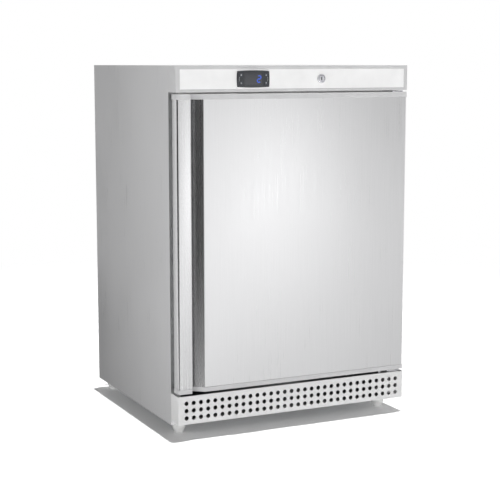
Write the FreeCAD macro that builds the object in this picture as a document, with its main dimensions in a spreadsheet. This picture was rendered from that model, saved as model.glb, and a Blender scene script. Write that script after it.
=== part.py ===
import FreeCAD, Part
import math
import os
import re
import Sketcher

# Undercounter refrigerator, free-standing, one solid door hinged on the right.
# Millimetres. X runs to the right, Y to the back, Z up. The origin is the middle
# of the footprint at floor level, so the front of the door faces -Y.

sizes = {
    # whole cabinet
    "width": 600,
    "depth": 600,
    "height": 850,
    "front_zone": 47,
    "rear_space": 47,
    "foot_height": 27,
    # heights and gaps of the front
    "fascia_height": 59,
    "grille_lift": 9.4,
    "grille_height": 66.3,
    "door_gap_top": 3.5,
    "door_gap_bottom": 5.9,
    # sheet metal and insulation
    "skin": 1,
    "tray_sheet": 1.5,
    "frame_sheet": 2,
    "front_flange": 24,
    "rear_flange": 15,
    "tray_flange": 40,
    "liner_wall": 2,
    "insulation": 45,
    "bay_height": 240,
    "bay_depth": 188,
    # instrument recess in the foam behind the fascia
    "recess_depth": 60,
    "recess_rim": 9,
    "recess_left": 180,
    "recess_right": 130,
    # fascia
    "fascia_wall": 2.5,
    "fascia_round": 4,
    "insert_side": 10.5,
    "insert_bottom": 6.6,
    "insert_top": 8.3,
    "insert_depth": 1.5,
    "insert_sheet": 0.8,
    # temperature controller
    "bezel_wide": 79,
    "bezel_tall": 35.5,
    "bezel_bow_side": 1,
    "bezel_bow_top": 1.5,
    "bezel_thick": 3.5,
    "bezel_edge": 1.2,
    "case_wide": 71,
    "case_tall": 29,
    "case_long": 52,
    "controller_x": -110.6,
    "window_wide": 46,
    "window_tall": 27,
    "window_thick": 1.2,
    "window_sunk": 0.5,
    "key_wide": 8,
    "key_tall": 9,
    "key_x": 31.2,
    "key_z": 9,
    "key_proud": 0.8,
    "key_body": 2.4,
    "key_travel": 0.6,
    "key_gap": 0.3,
    # door lock in the fascia
    "lock_x": 65,
    "lock_rim": 10.5,
    "lock_rim_thick": 2.6,
    "lock_body": 9,
    "lock_plug": 6.8,
    "lock_body_long": 8,
    "slot_wide": 2.4,
    "slot_tall": 8,
    "slot_deep": 5,
    "cam_reach": 38,
    "cam_wide": 10,
    "cam_thick": 2.5,
    "cam_gap": 1.5,
    "strike_deep": 9,
    # door
    "cap_proud": 1,
    "bar_step": 3.5,
    "door_pan": 24,
    "door_side_gap": 1,
    "door_round": 5,
    "cap_bottom": 10.9,
    "cap_top": 12.5,
    "door_return": 10,
    "bar_wide": 34,
    "bar_round": 7,
    "profile_wall": 2.5,
    "profile_lip": 3.75,
    "grip_hollow": 12.5,
    "recess_wide": 67,
    "recess_slope": 24,
    "grip_deep": 20.5,
    "liner_inset": 9,
    "liner_lip": 6.5,
    "pan_inset": 64,
    "pan_deep": 20,
    # gasket
    "gasket_inset": 27,
    "gasket_wide": 18,
    "gasket_fold": 3.5,
    "opening_margin": 4,
    # hinges
    "hinge_inset": 27,
    "hinge_set": 9.5,
    "pin_radius": 4,
    "bush_wall": 2.2,
    "bush_long": 10,
    "bush_flange": 1.2,
    "hinge_plate": 2.5,
    "hinge_wide": 36,
    "hinge_leg": 42,
    "hinge_nose": 10,
    "hinge_screw_radius": 2,
    # kick grille
    "grille_round": 3,
    "hole_radius": 5,
    "hole_columns": 32,
    "hole_rows": 3,
    "hole_margin": 21,
    "hole_bottom": 14.6,
    "row_pitch": 17.3,
    # adjustable feet
    "foot_inset": 30,
    "foot_back": 26.5,
    "pad_bottom": 10.5,
    "pad_top": 15.5,
    "pad_flare": 14,
    "pad_tall": 22,
    "pad_edge": 1.5,
    "stud_radius": 5,
    "stud_above": 22,
    "nut_radius": 12,
    "nut_tall": 10,
    # inside
    "shelf_wire": 5,
    "shelf_rod": 3,
    "shelf_pitch": 21,
    "shelf_side_gap": 2.5,
    "shelf_front_gap": 16,
    "shelf_long": 400,
    "ledge_wide": 9,
    "ledge_tall": 6,
    "shelf_drop": 8.5,
    "shelf_step": 125,
    "evaporator_wide": 380,
    "evaporator_tall": 330,
    "evaporator_sheet": 2,
    "evaporator_off": 12,
    "evaporator_drop": 49.5,
    "post_inset": 20,
    "post_radius": 6,
    "passage_inset": 25,
    "passage_tall": 5,
    "passage_proud": 2,
    "passage_pitch": 40,
    "passage_count": 4,
    "channel_wide": 400,
    "channel_deep": 30,
    "channel_tall": 20,
    "channel_wall": 1.5,
    "drain_radius": 8,
    "drain_x": -60,
    "shroud_wide": 130,
    "shroud_deep": 34,
    "shroud_drop": 14,
    "shroud_wall": 2,
    "fan_radius": 46,
    "fan_mouth": 50,
    "fan_hub": 15,
    "fan_deep": 12,
    "fan_blade": 1.6,
    "fan_blades": 5,
    "blade_wide": 19.5,
    "fan_pitch": 32,
    "fan_shaft": 2,
    "shaft_proud": 2,
    "motor_radius": 17,
    "motor_long": 12,
    "spoke_wide": 5,
    "probe_radius": 3,
    "probe_long": 32,
    "probe_forward": 60,
    # machine bay
    "compressor_x": -60,
    "compressor_radius": 70,
    "compressor_tall": 150,
    "compressor_round": 26,
    "compressor_wall": 3.5,
    "seam_height": 90,
    "ear_wide": 196,
    "ear_deep": 120,
    "ear_inset": 14,
    "ear_sheet": 3,
    "grommet_radius": 11,
    "grommet_tall": 14,
    "bolt_radius": 3,
    "bolt_head": 5.5,
    "relay_wide": 34,
    "relay_deep": 60,
    "relay_tall": 62,
    "pan_wide": 190,
    "pan_long": 130,
    "pan_tall": 24,
    "pan_wall": 1.5,
    "gland_radius": 9,
    "gland_long": 18,
    "gland_bore": 4.5,
    "gland_rim": 3,
    "gland_flange": 4,
    "gland_x": 225,
    "gland_z": 24,
    # condenser on the back
    "coil_half": 215,
    "coil_bottom": 40,
    "coil_passes": 12,
    "coil_pitch": 44,
    "coil_radius": 2.5,
    "coil_out": 23,
    "wire_radius": 1,
    "wire_pitch": 39,
    "wire_count": 11,
    "wire_sink": 0.3,
    "spacer_wide": 12,
    "spacer_tall": 34,
    "line_radius": 3,
    "line_bend": 16,
    "riser_inset": 42,
    "suction_stub": 40,
    "drier_radius": 9,
    "drier_long": 90,
    "drier_drop": 30,
    "drier_bend": 14.4,
    "capillary_radius": 1.2,
    "capillary_bend": 10,
    "capillary_loop": 22,
    # fits
    "running_fit": 0.05,
    "seat_fit": 0.02,
    "slack": 0.3,
    # how far a cutting shape runs past a face
    "past": 1,
}

# places worked out from the sizes, each a formula of sizes and of other places
places = {
    "left": "-width / 2",
    "right": "width / 2",
    "front": "-depth / 2",
    "rear": "depth / 2",
    "bar_front": "front + cap_proud",
    "face": "bar_front + bar_step",
    "cabinet_front": "front + front_zone",
    "cabinet_back": "rear - rear_space",
    "grille_bottom": "foot_height + grille_lift",
    "grille_top": "grille_bottom + grille_height",
    "door_bottom": "grille_top + door_gap_bottom",
    "fascia_bottom": "height - fascia_height",
    "door_top": "fascia_bottom - door_gap_top",
    # insulated box
    "inside": "width / 2 - skin",
    "foam_front": "cabinet_front + frame_sheet",
    "foam_back": "cabinet_back - 2 * skin",
    "floor_sheet": "opening_bottom - liner_wall - insulation",
    "opening_half": "width / 2 - gasket_inset - gasket_wide - opening_margin",
    "opening_bottom": "door_bottom + gasket_inset + gasket_wide + opening_margin",
    "opening_top": "door_top - gasket_inset - gasket_wide - opening_margin",
    "liner_back": "foam_back - insulation - liner_wall",
    "bay_top": "foot_height + bay_height",
    "bay_front": "cabinet_back - bay_depth",
    "step_top": "bay_top + insulation + liner_wall",
    "step_front": "bay_front - insulation - liner_wall",
    # door
    "door_half": "width / 2 - door_side_gap",
    "door_back": "face + door_pan",
    "skin_bottom": "door_bottom + cap_bottom",
    "skin_top": "door_top - cap_top",
    "gasket_front": "door_back + liner_lip",
    "gasket_half": "width / 2 - gasket_inset",
    "gasket_bottom": "door_bottom + gasket_inset",
    "gasket_top": "door_top - gasket_inset",
    "pan_half": "width / 2 - pan_inset",
    "pan_bottom": "door_bottom + pan_inset",
    "pan_top": "door_top - pan_inset",
    "bar_left": "left + door_side_gap",
    "bar_right": "left + bar_wide",
    "panel_left": "left + recess_wide",
    "grip_back": "bar_front + grip_deep",
    # hinge axis
    "hinge_x": "width / 2 - hinge_inset",
    "hinge_y": "face + hinge_set",
    "hinge_right": "hinge_x + hinge_wide / 2",
    "hinge_screw_x": "right - front_flange / 2 - skin",
    # fascia
    "insert_left": "left + insert_side",
    "insert_right": "right - insert_side",
    "insert_low": "fascia_bottom + insert_bottom",
    "insert_high": "height - insert_top",
    "insert_face": "face + insert_depth - insert_sheet",
    "control_z": "(insert_low + insert_high) / 2",
    "bezel_front": "insert_face - bezel_thick",
    "cam_front": "insert_face + lock_body_long",
    "cam_back": "cam_front + cam_thick",
    "lock_sweep": "sqrt((cam_reach + cam_wide / 4)^2 - (control_z - fascia_bottom - fascia_wall)^2)",
    # inside
    "shelf_half": "opening_half - shelf_side_gap",
    "shelf_front": "foam_front + shelf_front_gap",
    "shelf_back": "shelf_front + shelf_long",
    "plate_back": "liner_back - evaporator_off",
    "plate_front": "plate_back - evaporator_sheet",
    "plate_bottom": "opening_top - evaporator_drop - evaporator_tall",
    "suction_x": "evaporator_wide / 2 - passage_inset",
    "suction_y": "(plate_front + plate_back) / 2",
    "fan_z": "opening_top - shroud_drop - shroud_wide / 2",
    "shelf_top": "fan_z - shroud_wide / 2 - shelf_drop",
    "shroud_front": "plate_front - shroud_deep",
    "motor_front": "shroud_front + shroud_wall",
    "motor_back": "motor_front + motor_long",
    "channel_bottom": "step_top + slack",
    "channel_back": "liner_back",
    "channel_front": "liner_back - channel_deep",
    "drain_y": "liner_back - channel_deep / 2",
    # machine bay
    "tray_top": "foot_height + tray_sheet",
    "compressor_y": "(bay_front + cabinet_back) / 2",
    "ear_bottom": "tray_top + grommet_tall",
    "shell_bottom": "ear_bottom + ear_sheet",
    "shell_top": "shell_bottom + compressor_tall",
    # condenser
    "coil_y": "cabinet_back + coil_out",
    "coil_low": "bay_top + coil_bottom",
    "coil_high": "coil_low + (coil_passes - 1) * coil_pitch",
}

doc = FreeCAD.newDocument("undercounter_refrigerator")
sheet = doc.addObject("Spreadsheet::Sheet", "dims")
for row, (alias, number) in enumerate(sizes.items(), 1):
    sheet.set(f"A{row}", alias)
    sheet.set(f"B{row}", str(number))
    sheet.setAlias(f"B{row}", alias)
doc.recompute()

word = re.compile("[a-z][a-z_]*")
nodes = []


def formula(text):
    """The expression for a text of size names, place names and numbers."""

    def swap(match):
        name = match.group(0)
        if name in sizes:
            return "dims." + name
        if name in places:
            return "(" + formula(places[name]) + ")"
        return name

    return word.sub(swap, str(text))


def value(text):
    return float(sheet.evalExpression(formula(text)))


def node(thing, label):
    """Marks an object as a finished piece, whose label names its file."""
    thing.Label = label
    nodes.append(thing)
    return thing


# ---- outlines -------------------------------------------------------------------


def rect(low_x, low_y, high_x, high_y):
    return [(low_x, low_y), (high_x, low_y), (high_x, high_y), (low_x, high_y)]


def disc(x, y, radius):
    return (x, y, radius)


def bowed(x, y, wide, tall, bow_side, bow_top):
    """A rectangle whose sides bulge outwards."""
    low_x, high_x = f"{x} - {wide} / 2", f"{x} + {wide} / 2"
    low_y, high_y = f"{y} - {tall} / 2", f"{y} + {tall} / 2"
    return [
        (low_x, low_y, wide, bow_top),
        (high_x, low_y, tall, bow_side),
        (high_x, high_y, wide, bow_top),
        (low_x, high_y, tall, bow_side),
    ]


def constrain(sketch, kind, elements, text):
    index = sketch.addConstraint(Sketcher.Constraint(kind, *elements, value(text)))
    sketch.setExpression(f"Constraints[{index}]", formula(text))


def draw_disc(sketch, x, y, radius):
    centre = FreeCAD.Vector(value(x), value(y), 0)
    ring = sketch.addGeometry(Part.Circle(centre, FreeCAD.Vector(0, 0, 1), value(radius)))
    constrain(sketch, "DistanceX", (-1, 1, ring, 3), x)
    constrain(sketch, "DistanceY", (-1, 1, ring, 3), y)
    constrain(sketch, "Radius", (ring,), radius)


def draw_outline(sketch, points):
    """A closed outline; a point with a chord and a bow starts an arc, others a line."""
    corners = [FreeCAD.Vector(value(p[0]), value(p[1]), 0) for p in points]
    first = sketch.GeometryCount
    for index, point in enumerate(points):
        start, end = corners[index], corners[(index + 1) % len(points)]
        if len(point) == 4:
            along = (end - start).normalize()
            middle = (start + end) / 2 + FreeCAD.Vector(along.y, -along.x, 0) * value(point[3])
            sketch.addGeometry(Part.Arc(start, middle, end))
        else:
            sketch.addGeometry(Part.LineSegment(start, end))
    for index, point in enumerate(points):
        edge, after = first + index, first + (index + 1) % len(points)
        sketch.addConstraint(Sketcher.Constraint("Coincident", edge, 2, after, 1))
        constrain(sketch, "DistanceX", (-1, 1, edge, 1), point[0])
        constrain(sketch, "DistanceY", (-1, 1, edge, 1), point[1])
        if len(point) == 4:
            chord, bow = point[2], point[3]
            radius = f"(({chord}) ^ 2 / 4 + ({bow}) ^ 2) / (2 * ({bow}))"
            constrain(sketch, "Radius", (edge,), radius)


def add_sketch(body, plane, offset, wires):
    """A sketch on an origin plane of its body, moved along the plane's normal."""
    origin = [f for f in body.Origin.OriginFeatures if f.Role == plane + "_Plane"][0]
    sketch = body.newObject("Sketcher::SketchObject", "outline")
    sketch.AttachmentSupport = [(origin, "")]
    sketch.MapMode = "FlatFace"
    sketch.setExpression("AttachmentOffset.Base.z", formula(offset))
    for wire in wires:
        if isinstance(wire, tuple):
            draw_disc(sketch, *wire)
        else:
            draw_outline(sketch, wire)
    return sketch


# ---- features of a body ---------------------------------------------------------


def new_body(label):
    return node(doc.addObject("PartDesign::Body", label), label)


def pad(body, plane, low, high, *wires):
    """Adds material from low to high along the plane's axis (XZ faces -Y)."""
    offset = f"-({high})" if plane == "XZ" else low
    sketch = add_sketch(body, plane, offset, wires)
    feature = body.newObject("PartDesign::Pad", "pad")
    feature.Profile = sketch
    feature.setExpression("Length", formula(f"({high}) - ({low})"))
    return feature


def pocket(body, plane, low, high, *wires):
    """Cuts material from low to high along the plane's axis."""
    doc.recompute()
    before = body.Shape.Volume
    offset = f"-({low})" if plane == "XZ" else high
    sketch = add_sketch(body, plane, offset, wires)
    feature = body.newObject("PartDesign::Pocket", "pocket")
    feature.Profile = sketch
    feature.setExpression("Length", formula(f"({high}) - ({low})"))
    doc.recompute()
    if not body.Shape.Volume < before:
        raise RuntimeError(f"a pocket of {body.Label} cuts nothing")
    return feature


def revolve(body, *wires):
    """Turns an XZ outline about the body's own Z axis."""
    sketch = add_sketch(body, "XZ", "0", wires)
    feature = body.newObject("PartDesign::Revolution", "turned")
    feature.Profile = sketch
    axis = [f for f in body.Origin.OriginFeatures if f.Role == "Z_Axis"][0]
    feature.ReferenceAxis = (axis, [""])
    feature.Angle = 360
    return feature


def repeat(body, originals, axis, step, count):
    """Copies features along an axis of the body."""
    feature = body.newObject("PartDesign::LinearPattern", "row")
    feature.Originals = originals
    line = [f for f in body.Origin.OriginFeatures if f.Role == axis + "_Axis"][0]
    feature.Direction = (line, [""])
    feature.setExpression("Length", formula(f"({step}) * ({count} - 1)"))
    feature.setExpression("Occurrences", formula(count))
    body.Tip = feature
    doc.recompute()
    return feature


def edges_where(shape, **places_of_edge):
    """Names of the edges whose two ends lie at the given x, y or z."""
    names = []
    for index, edge in enumerate(shape.Edges, 1):
        ends = [vertex.Point for vertex in edge.Vertexes]
        if len(ends) == 2 and all(
            abs(getattr(end, axis) - value(text)) < 0.01
            for axis, text in places_of_edge.items()
            for end in ends
        ):
            names.append(f"Edge{index}")
    return names


def round_edges(body, radius, *choices):
    """Rounds the edges that any of the choices of x, y or z picks."""
    doc.recompute()
    base = body.Tip
    names = [name for choice in choices for name in edges_where(base.Shape, **choice)]
    feature = body.newObject("PartDesign::Fillet", "rounded")
    feature.Base = (base, sorted(set(names)))
    feature.setExpression("Radius", formula(radius))
    doc.recompute()
    return feature


# ---- plain solids ---------------------------------------------------------------


def place(thing, x, y, z):
    for axis, text in zip("xyz", (x, y, z)):
        thing.setExpression(f"Placement.Base.{axis}", formula(text))
    return thing


def block(x, y, z):
    """A box between two limits along each axis."""
    box = doc.addObject("Part::Box", "block")
    for name, (low, high) in zip(("Length", "Width", "Height"), (x, y, z)):
        box.setExpression(name, formula(f"({high}) - ({low})"))
    return place(box, x[0], y[0], z[0])


turns = {
    "X": FreeCAD.Rotation(FreeCAD.Vector(0, 1, 0), 90),
    "Y": FreeCAD.Rotation(FreeCAD.Vector(1, 0, 0), -90),
    "Z": FreeCAD.Rotation(),
}


def rod(axis, x, y, z, radius, length):
    """A cylinder that starts at a point and runs along an axis."""
    cylinder = doc.addObject("Part::Cylinder", "rod")
    cylinder.Placement.Rotation = turns[axis]
    cylinder.setExpression("Radius", formula(radius))
    cylinder.setExpression("Height", formula(length))
    return place(cylinder, x, y, z)


def cut(base, *tools):
    feature = doc.addObject("Part::Cut", "cut")
    feature.Base = base
    feature.Tool = tools[0] if len(tools) == 1 else fuse(*tools)
    return feature


def fuse(*items):
    feature = doc.addObject("Part::MultiFuse", "joined")
    feature.Shapes = list(items)
    return feature


def group(label, items):
    """Separate solids that share one node."""
    feature = doc.addObject("Part::Compound", label)
    feature.Links = list(items)
    return node(feature, label)


def screw(axis, x, y, z, radius, length, head_radius, head_thick):
    """A screw whose head's inner face is at the point; its shank runs along the axis."""
    start = [x, y, z]
    along = "XYZ".index(axis)
    start[along] = f"({start[along]}) - ({head_thick})"
    head = rod(axis, *start, head_radius, head_thick)
    return fuse(head, rod(axis, x, y, z, radius, length))


def bent_tube(points, radius, bend):
    """A tube along straight runs joined by tangent arcs."""
    corners = [FreeCAD.Vector(*point) for point in points]
    edges = []
    start = corners[0]
    for before, corner, after in zip(corners, corners[1:], corners[2:]):
        inward = (before - corner).normalize()
        outward = (after - corner).normalize()
        half = inward.getAngle(outward) / 2
        reach = bend / math.tan(half)
        entry, leave = corner + inward * reach, corner + outward * reach
        bisector = (inward + outward).normalize()
        middle = corner + bisector * (bend / math.sin(half) - bend)
        if (entry - start).Length > 0.001:
            edges.append(Part.LineSegment(start, entry).toShape())
        edges.append(Part.Arc(entry, middle, leave).toShape())
        start = leave
    edges.append(Part.LineSegment(start, corners[-1]).toShape())
    direction = (corners[1] - corners[0]).normalize()
    ring = Part.Wire(Part.makeCircle(radius, corners[0], direction))
    return Part.Wire(edges).makePipeShell([ring], True, False)


def shaped(label, shape):
    """A piece whose shape comes from Part's own functions."""
    feature = doc.addObject("Part::Feature", label)
    feature.Shape = shape
    return node(feature, label)


# ---- cabinet shell --------------------------------------------------------------


def side_panel(label, side):
    """Folded steel side with a front flange and a narrow rear flange."""
    outer = f"{side} * width / 2"
    inner = f"{side} * inside"
    flange = f"{side} * (width / 2 - front_flange)"
    lip = f"{side} * (width / 2 - rear_flange)"
    outline = [
        (outer, "cabinet_front"),
        (flange, "cabinet_front"),
        (flange, "cabinet_front + skin"),
        (inner, "cabinet_front + skin"),
        (inner, "cabinet_back - skin"),
        (lip, "cabinet_back - skin"),
        (lip, "cabinet_back"),
        (outer, "cabinet_back"),
    ]
    pad(new_body(label), "XY", "foot_height", "height", outline)


def niche_outline():
    """Instrument recess behind the fascia."""
    return rect("-recess_left", "fascia_bottom + recess_rim", "recess_right", "height - recess_rim")


def cabinet_shell():
    side_panel("side_panel_left", "-1")
    side_panel("side_panel_right", "1")

    top = new_body("top_panel")
    deck = rect("-inside", "cabinet_front + skin", "inside", "cabinet_back - skin")
    pad(top, "XY", "height - skin", "height", deck)

    back = new_body("back_panel")
    sheet_outline = rect("-inside", "bay_top + skin", "inside", "height - skin")
    pad(back, "XZ", "foam_back", "cabinet_back - skin", sheet_outline)

    tray = new_body("base_tray")
    outline = [
        ("cabinet_front + skin", "foot_height"),
        ("cabinet_back - skin", "foot_height"),
        ("cabinet_back - skin", "foot_height + tray_flange"),
        ("foam_back", "foot_height + tray_flange"),
        ("foam_back", "tray_top"),
        ("cabinet_front + skin + tray_sheet", "tray_top"),
        ("cabinet_front + skin + tray_sheet", "grille_bottom"),
        ("cabinet_front + skin", "grille_bottom"),
    ]
    pad(tray, "YZ", "-inside", "inside", outline)
    holes = [disc(x, y, "stud_radius + slack") for x, y in foot_spots]
    holes += [disc(x, y, "bolt_radius") for x, y in ear_spots]
    pocket(tray, "XY", "foot_height - past", "tray_top + past", *holes)
    gland_hole = disc("gland_x", "foot_height + gland_z", "gland_radius")
    pocket(tray, "XZ", "foam_back - past", "cabinet_back", gland_hole)

    bay = new_body("bay_panel")
    outline = [
        ("foam_front", "floor_sheet - skin"),
        ("bay_front", "floor_sheet - skin"),
        ("bay_front", "bay_top - skin"),
        ("cabinet_back - skin", "bay_top - skin"),
        ("cabinet_back - skin", "bay_top"),
        ("bay_front - skin", "bay_top"),
        ("bay_front - skin", "floor_sheet"),
        ("foam_front", "floor_sheet"),
    ]
    pad(bay, "YZ", "-inside", "inside", outline)
    pocket(bay, "XY", "bay_top - 2 * skin", "bay_top + past", *pipe_holes)

    frame = new_body("front_frame")
    half = "width / 2 - front_flange - seat_fit"
    pad(
        frame,
        "XZ",
        "cabinet_front",
        "foam_front",
        rect(f"-({half})", "floor_sheet", half, "height - skin"),
        rect("-opening_half", "opening_bottom", "opening_half", "opening_top"),
        niche_outline(),
    )


# ---- insulation and liner -------------------------------------------------------


def room_outline(wall):
    """Side view of the food room, grown outwards by a wall."""
    return [
        ("foam_front", f"opening_bottom - {wall}"),
        (f"step_front + {wall}", f"opening_bottom - {wall}"),
        (f"step_front + {wall}", f"step_top - {wall}"),
        (f"liner_back + {wall}", f"step_top - {wall}"),
        (f"liner_back + {wall}", f"opening_top + {wall}"),
        ("foam_front", f"opening_top + {wall}"),
    ]


def insulated_box():
    foam = new_body("foam_insulation")
    outline = [
        ("foam_front", "floor_sheet"),
        ("bay_front - skin", "floor_sheet"),
        ("bay_front - skin", "bay_top"),
        ("foam_back", "bay_top"),
        ("foam_back", "height - skin"),
        ("foam_front", "height - skin"),
    ]
    pad(foam, "YZ", "-inside", "inside", outline)
    half = "opening_half + liner_wall"
    pocket(foam, "YZ", f"-({half})", half, room_outline("liner_wall"))
    pocket(foam, "XZ", "foam_front", "foam_front + recess_depth", niche_outline())
    pocket(foam, "XY", "bay_top - past", "step_top", *pipe_holes)

    liner = new_body("inner_liner")
    pad(liner, "YZ", f"-({half})", half, room_outline("liner_wall"))
    pocket(liner, "YZ", "-opening_half", "opening_half", room_outline("0"))
    for level in shelf_levels:
        top = f"{level} - slack"
        for side in ("-1", "1"):
            reach = f"{side} * (opening_half - ledge_wide)"
            ledge = rect(f"{side} * (opening_half + slack)", "shelf_front", reach, "shelf_back")
            pad(liner, "XY", f"{top} - ledge_tall", top, ledge)
    pocket(liner, "XY", "step_top - liner_wall - past", "step_top + past", *pipe_holes)


# ---- fascia, controller and lock ------------------------------------------------


def control_holes(grow):
    """Openings for the controller's case and the lock's body in the fascia."""
    case = rect(
        f"controller_x - case_wide / 2 - {grow}",
        f"control_z - case_tall / 2 - {grow}",
        f"controller_x + case_wide / 2 + {grow}",
        f"control_z + case_tall / 2 + {grow}",
    )
    return case, disc("lock_x", "control_z", f"lock_body + {grow}")


def cam_path():
    """Plan of the slot that the lock's cam drops through."""
    return rect(
        "lock_x - cam_wide / 2 - cam_gap",
        "cam_front - cam_gap",
        "lock_x + lock_sweep + cam_gap",
        "cam_back + cam_gap",
    )


def fascia():
    frame = new_body("fascia_frame")
    pad(frame, "XZ", "face", "cabinet_front", rect("left", "fascia_bottom", "right", "height"))
    round_edges(
        frame,
        "fascia_round",
        {"x": "left", "y": "face"},
        {"x": "right", "y": "face"},
    )
    hollow = rect(
        "left + fascia_wall",
        "fascia_bottom + fascia_wall",
        "right - fascia_wall",
        "height - fascia_wall",
    )
    pocket(frame, "XZ", "face + insert_depth + fascia_wall", "cabinet_front", hollow)
    seat = rect("insert_left", "insert_low", "insert_right", "insert_high")
    pocket(frame, "XZ", "face - past", "face + insert_depth", seat)
    pocket(frame, "XZ", "face", "cabinet_front", *control_holes("seat_fit"))
    notches = [
        rect(
            f"{side} * (hinge_right + slack)",
            "cabinet_front - hinge_plate - slack",
            f"{side} * (hinge_right - hinge_wide - slack)",
            "cabinet_front + past",
        )
        for side in ("-1", "1")
    ]
    floor_top = "fascia_bottom + fascia_wall"
    pocket(frame, "XY", "fascia_bottom - past", floor_top, *notches, cam_path())

    insert = new_body("fascia_insert")
    plate = rect(
        "insert_left + seat_fit",
        "insert_low + seat_fit",
        "insert_right - seat_fit",
        "insert_high - seat_fit",
    )
    pad(insert, "XZ", "insert_face", "insert_face + insert_sheet", plate, *control_holes("seat_fit"))


def key_outline(x_side, z_side, grow):
    centre_x, centre_z = f"controller_x + {x_side} * key_x", f"control_z + {z_side} * key_z"
    return rect(
        f"{centre_x} - key_wide / 2 - {grow}",
        f"{centre_z} - key_tall / 2 - {grow}",
        f"{centre_x} + key_wide / 2 + {grow}",
        f"{centre_z} + key_tall / 2 + {grow}",
    )


def window_outline(inset):
    return rect(
        f"controller_x - window_wide / 2 + {inset}",
        f"control_z - window_tall / 2 + {inset}",
        f"controller_x + window_wide / 2 - {inset}",
        f"control_z + window_tall / 2 - {inset}",
    )


def controller():
    case = new_body("controller_case")
    bezel = bowed(
        "controller_x", "control_z", "bezel_wide", "bezel_tall", "bezel_bow_side", "bezel_bow_top"
    )
    pad(case, "XZ", "bezel_front", "insert_face", bezel)
    round_edges(case, "bezel_edge", {"y": "bezel_front"})
    body_outline = control_holes("0")[0]
    pad(case, "XZ", "insert_face", "bezel_front + case_long", body_outline)
    window_back = "bezel_front + window_sunk + window_thick"
    pocket(case, "XZ", "bezel_front - past", window_back, window_outline("0"))
    wells = [key_outline(x, z, "key_gap") for x, z, _ in key_places]
    well_back = "bezel_front + key_body + key_travel + key_gap"
    pocket(case, "XZ", "bezel_front - past", well_back, *wells)

    lens = new_body("controller_window")
    pad(lens, "XZ", "bezel_front + window_sunk", window_back, window_outline("seat_fit"))

    for x, z, name in key_places:
        key = new_body("key_" + name)
        pad(key, "XZ", "bezel_front - key_proud", "bezel_front + key_body", key_outline(x, z, "0"))


def lock():
    rim_front = "insert_face - lock_rim_thick"
    bore = disc("lock_x", "control_z", "lock_plug + running_fit")
    housing = new_body("lock_housing")
    pad(housing, "XZ", rim_front, "insert_face", disc("lock_x", "control_z", "lock_rim"), bore)
    pad(housing, "XZ", "insert_face", "cam_front - slack", disc("lock_x", "control_z", "lock_body"), bore)

    barrel = new_body("lock_barrel")
    pad(barrel, "XZ", f"{rim_front} + slack", "cam_front", disc("lock_x", "control_z", "lock_plug"))
    keyway = rect(
        "lock_x - slot_wide / 2",
        "control_z - slot_tall / 2",
        "lock_x + slot_wide / 2",
        "control_z + slot_tall / 2",
    )
    pocket(barrel, "XZ", f"{rim_front} - past", f"{rim_front} + slot_deep", keyway)

    cam = new_body("lock_cam")
    bar = rect(
        "lock_x - cam_wide / 2",
        "control_z - cam_wide / 2",
        "lock_x + cam_reach",
        "control_z + cam_wide / 2",
    )
    pad(cam, "XZ", "cam_front", "cam_back", bar)
    round_edges(
        cam,
        "cam_wide / 4",
        {"x": "lock_x + cam_reach", "z": "control_z - cam_wide / 2"},
        {"x": "lock_x + cam_reach", "z": "control_z + cam_wide / 2"},
    )


# ---- kick grille ----------------------------------------------------------------


def grille():
    body = new_body("grille")
    face_outline = rect("left", "face", "right", "cabinet_front")
    pad(body, "XY", "grille_bottom", "grille_top", face_outline)
    round_edges(
        body,
        "grille_round",
        {"x": "left", "y": "face"},
        {"x": "right", "y": "face"},
    )
    room = rect("left + skin", "face + skin", "right - skin", "cabinet_front + past")
    pocket(body, "XY", "grille_bottom + skin", "grille_top + past", room)
    hole = disc("left + hole_margin", "grille_bottom + hole_bottom", "hole_radius")
    first = pocket(body, "XZ", "face - past", "face + 2 * skin", hole)
    holes = body.newObject("PartDesign::LinearPattern", "perforation")
    holes.Originals = [first]
    axes = {f.Role: f for f in body.Origin.OriginFeatures}
    holes.Direction = (axes["X_Axis"], [""])
    holes.setExpression("Length", formula("width - 2 * hole_margin"))
    holes.setExpression("Occurrences", formula("hole_columns"))
    holes.Direction2 = (axes["Z_Axis"], [""])
    holes.setExpression("Length2", formula("row_pitch * (hole_rows - 1)"))
    holes.setExpression("Occurrences2", formula("hole_rows"))
    body.Tip = holes
    doc.recompute()


# ---- door -----------------------------------------------------------------------


def grip_outline(proud):
    """Plan of the door's left end: grip bar, finger recess and its sloping side."""
    return [
        ("bar_left - " + proud, "door_back"),
        ("bar_left - " + proud, "bar_front - " + proud),
        ("bar_right", "bar_front - " + proud),
        ("bar_right", "bar_front + profile_wall"),
        ("bar_left + grip_hollow", "bar_front + profile_wall"),
        ("bar_left + grip_hollow", "grip_back"),
        ("panel_left - recess_slope", "grip_back"),
    ]


def door_cap(label, low, high, top):
    """Moulded end cap that follows the whole door section."""
    cap = new_body(label)
    outline = grip_outline("cap_proud")
    outline += [
        ("panel_left", "face - cap_proud"),
        ("door_half + cap_proud", "face - cap_proud"),
        ("door_half + cap_proud", "door_back"),
    ]
    pad(cap, "XY", low, high, outline)
    round_edges(
        cap,
        "bar_round + cap_proud",
        {"x": "bar_left - cap_proud", "y": "bar_front - cap_proud"},
    )
    round_edges(
        cap,
        "door_round + cap_proud",
        {"x": "door_half + cap_proud", "y": "face - cap_proud"},
    )
    seat = disc("hinge_x", "hinge_y", "pin_radius + running_fit + bush_wall + seat_fit")
    if top:
        pocket(cap, "XY", f"{high} - bush_long - seat_fit", f"{high} + past", seat)
        pocket(cap, "XY", f"{high} - strike_deep", f"{high} + past", cam_path())
    else:
        pocket(cap, "XY", f"{low} - past", f"{low} + bush_long + seat_fit", seat)


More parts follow.
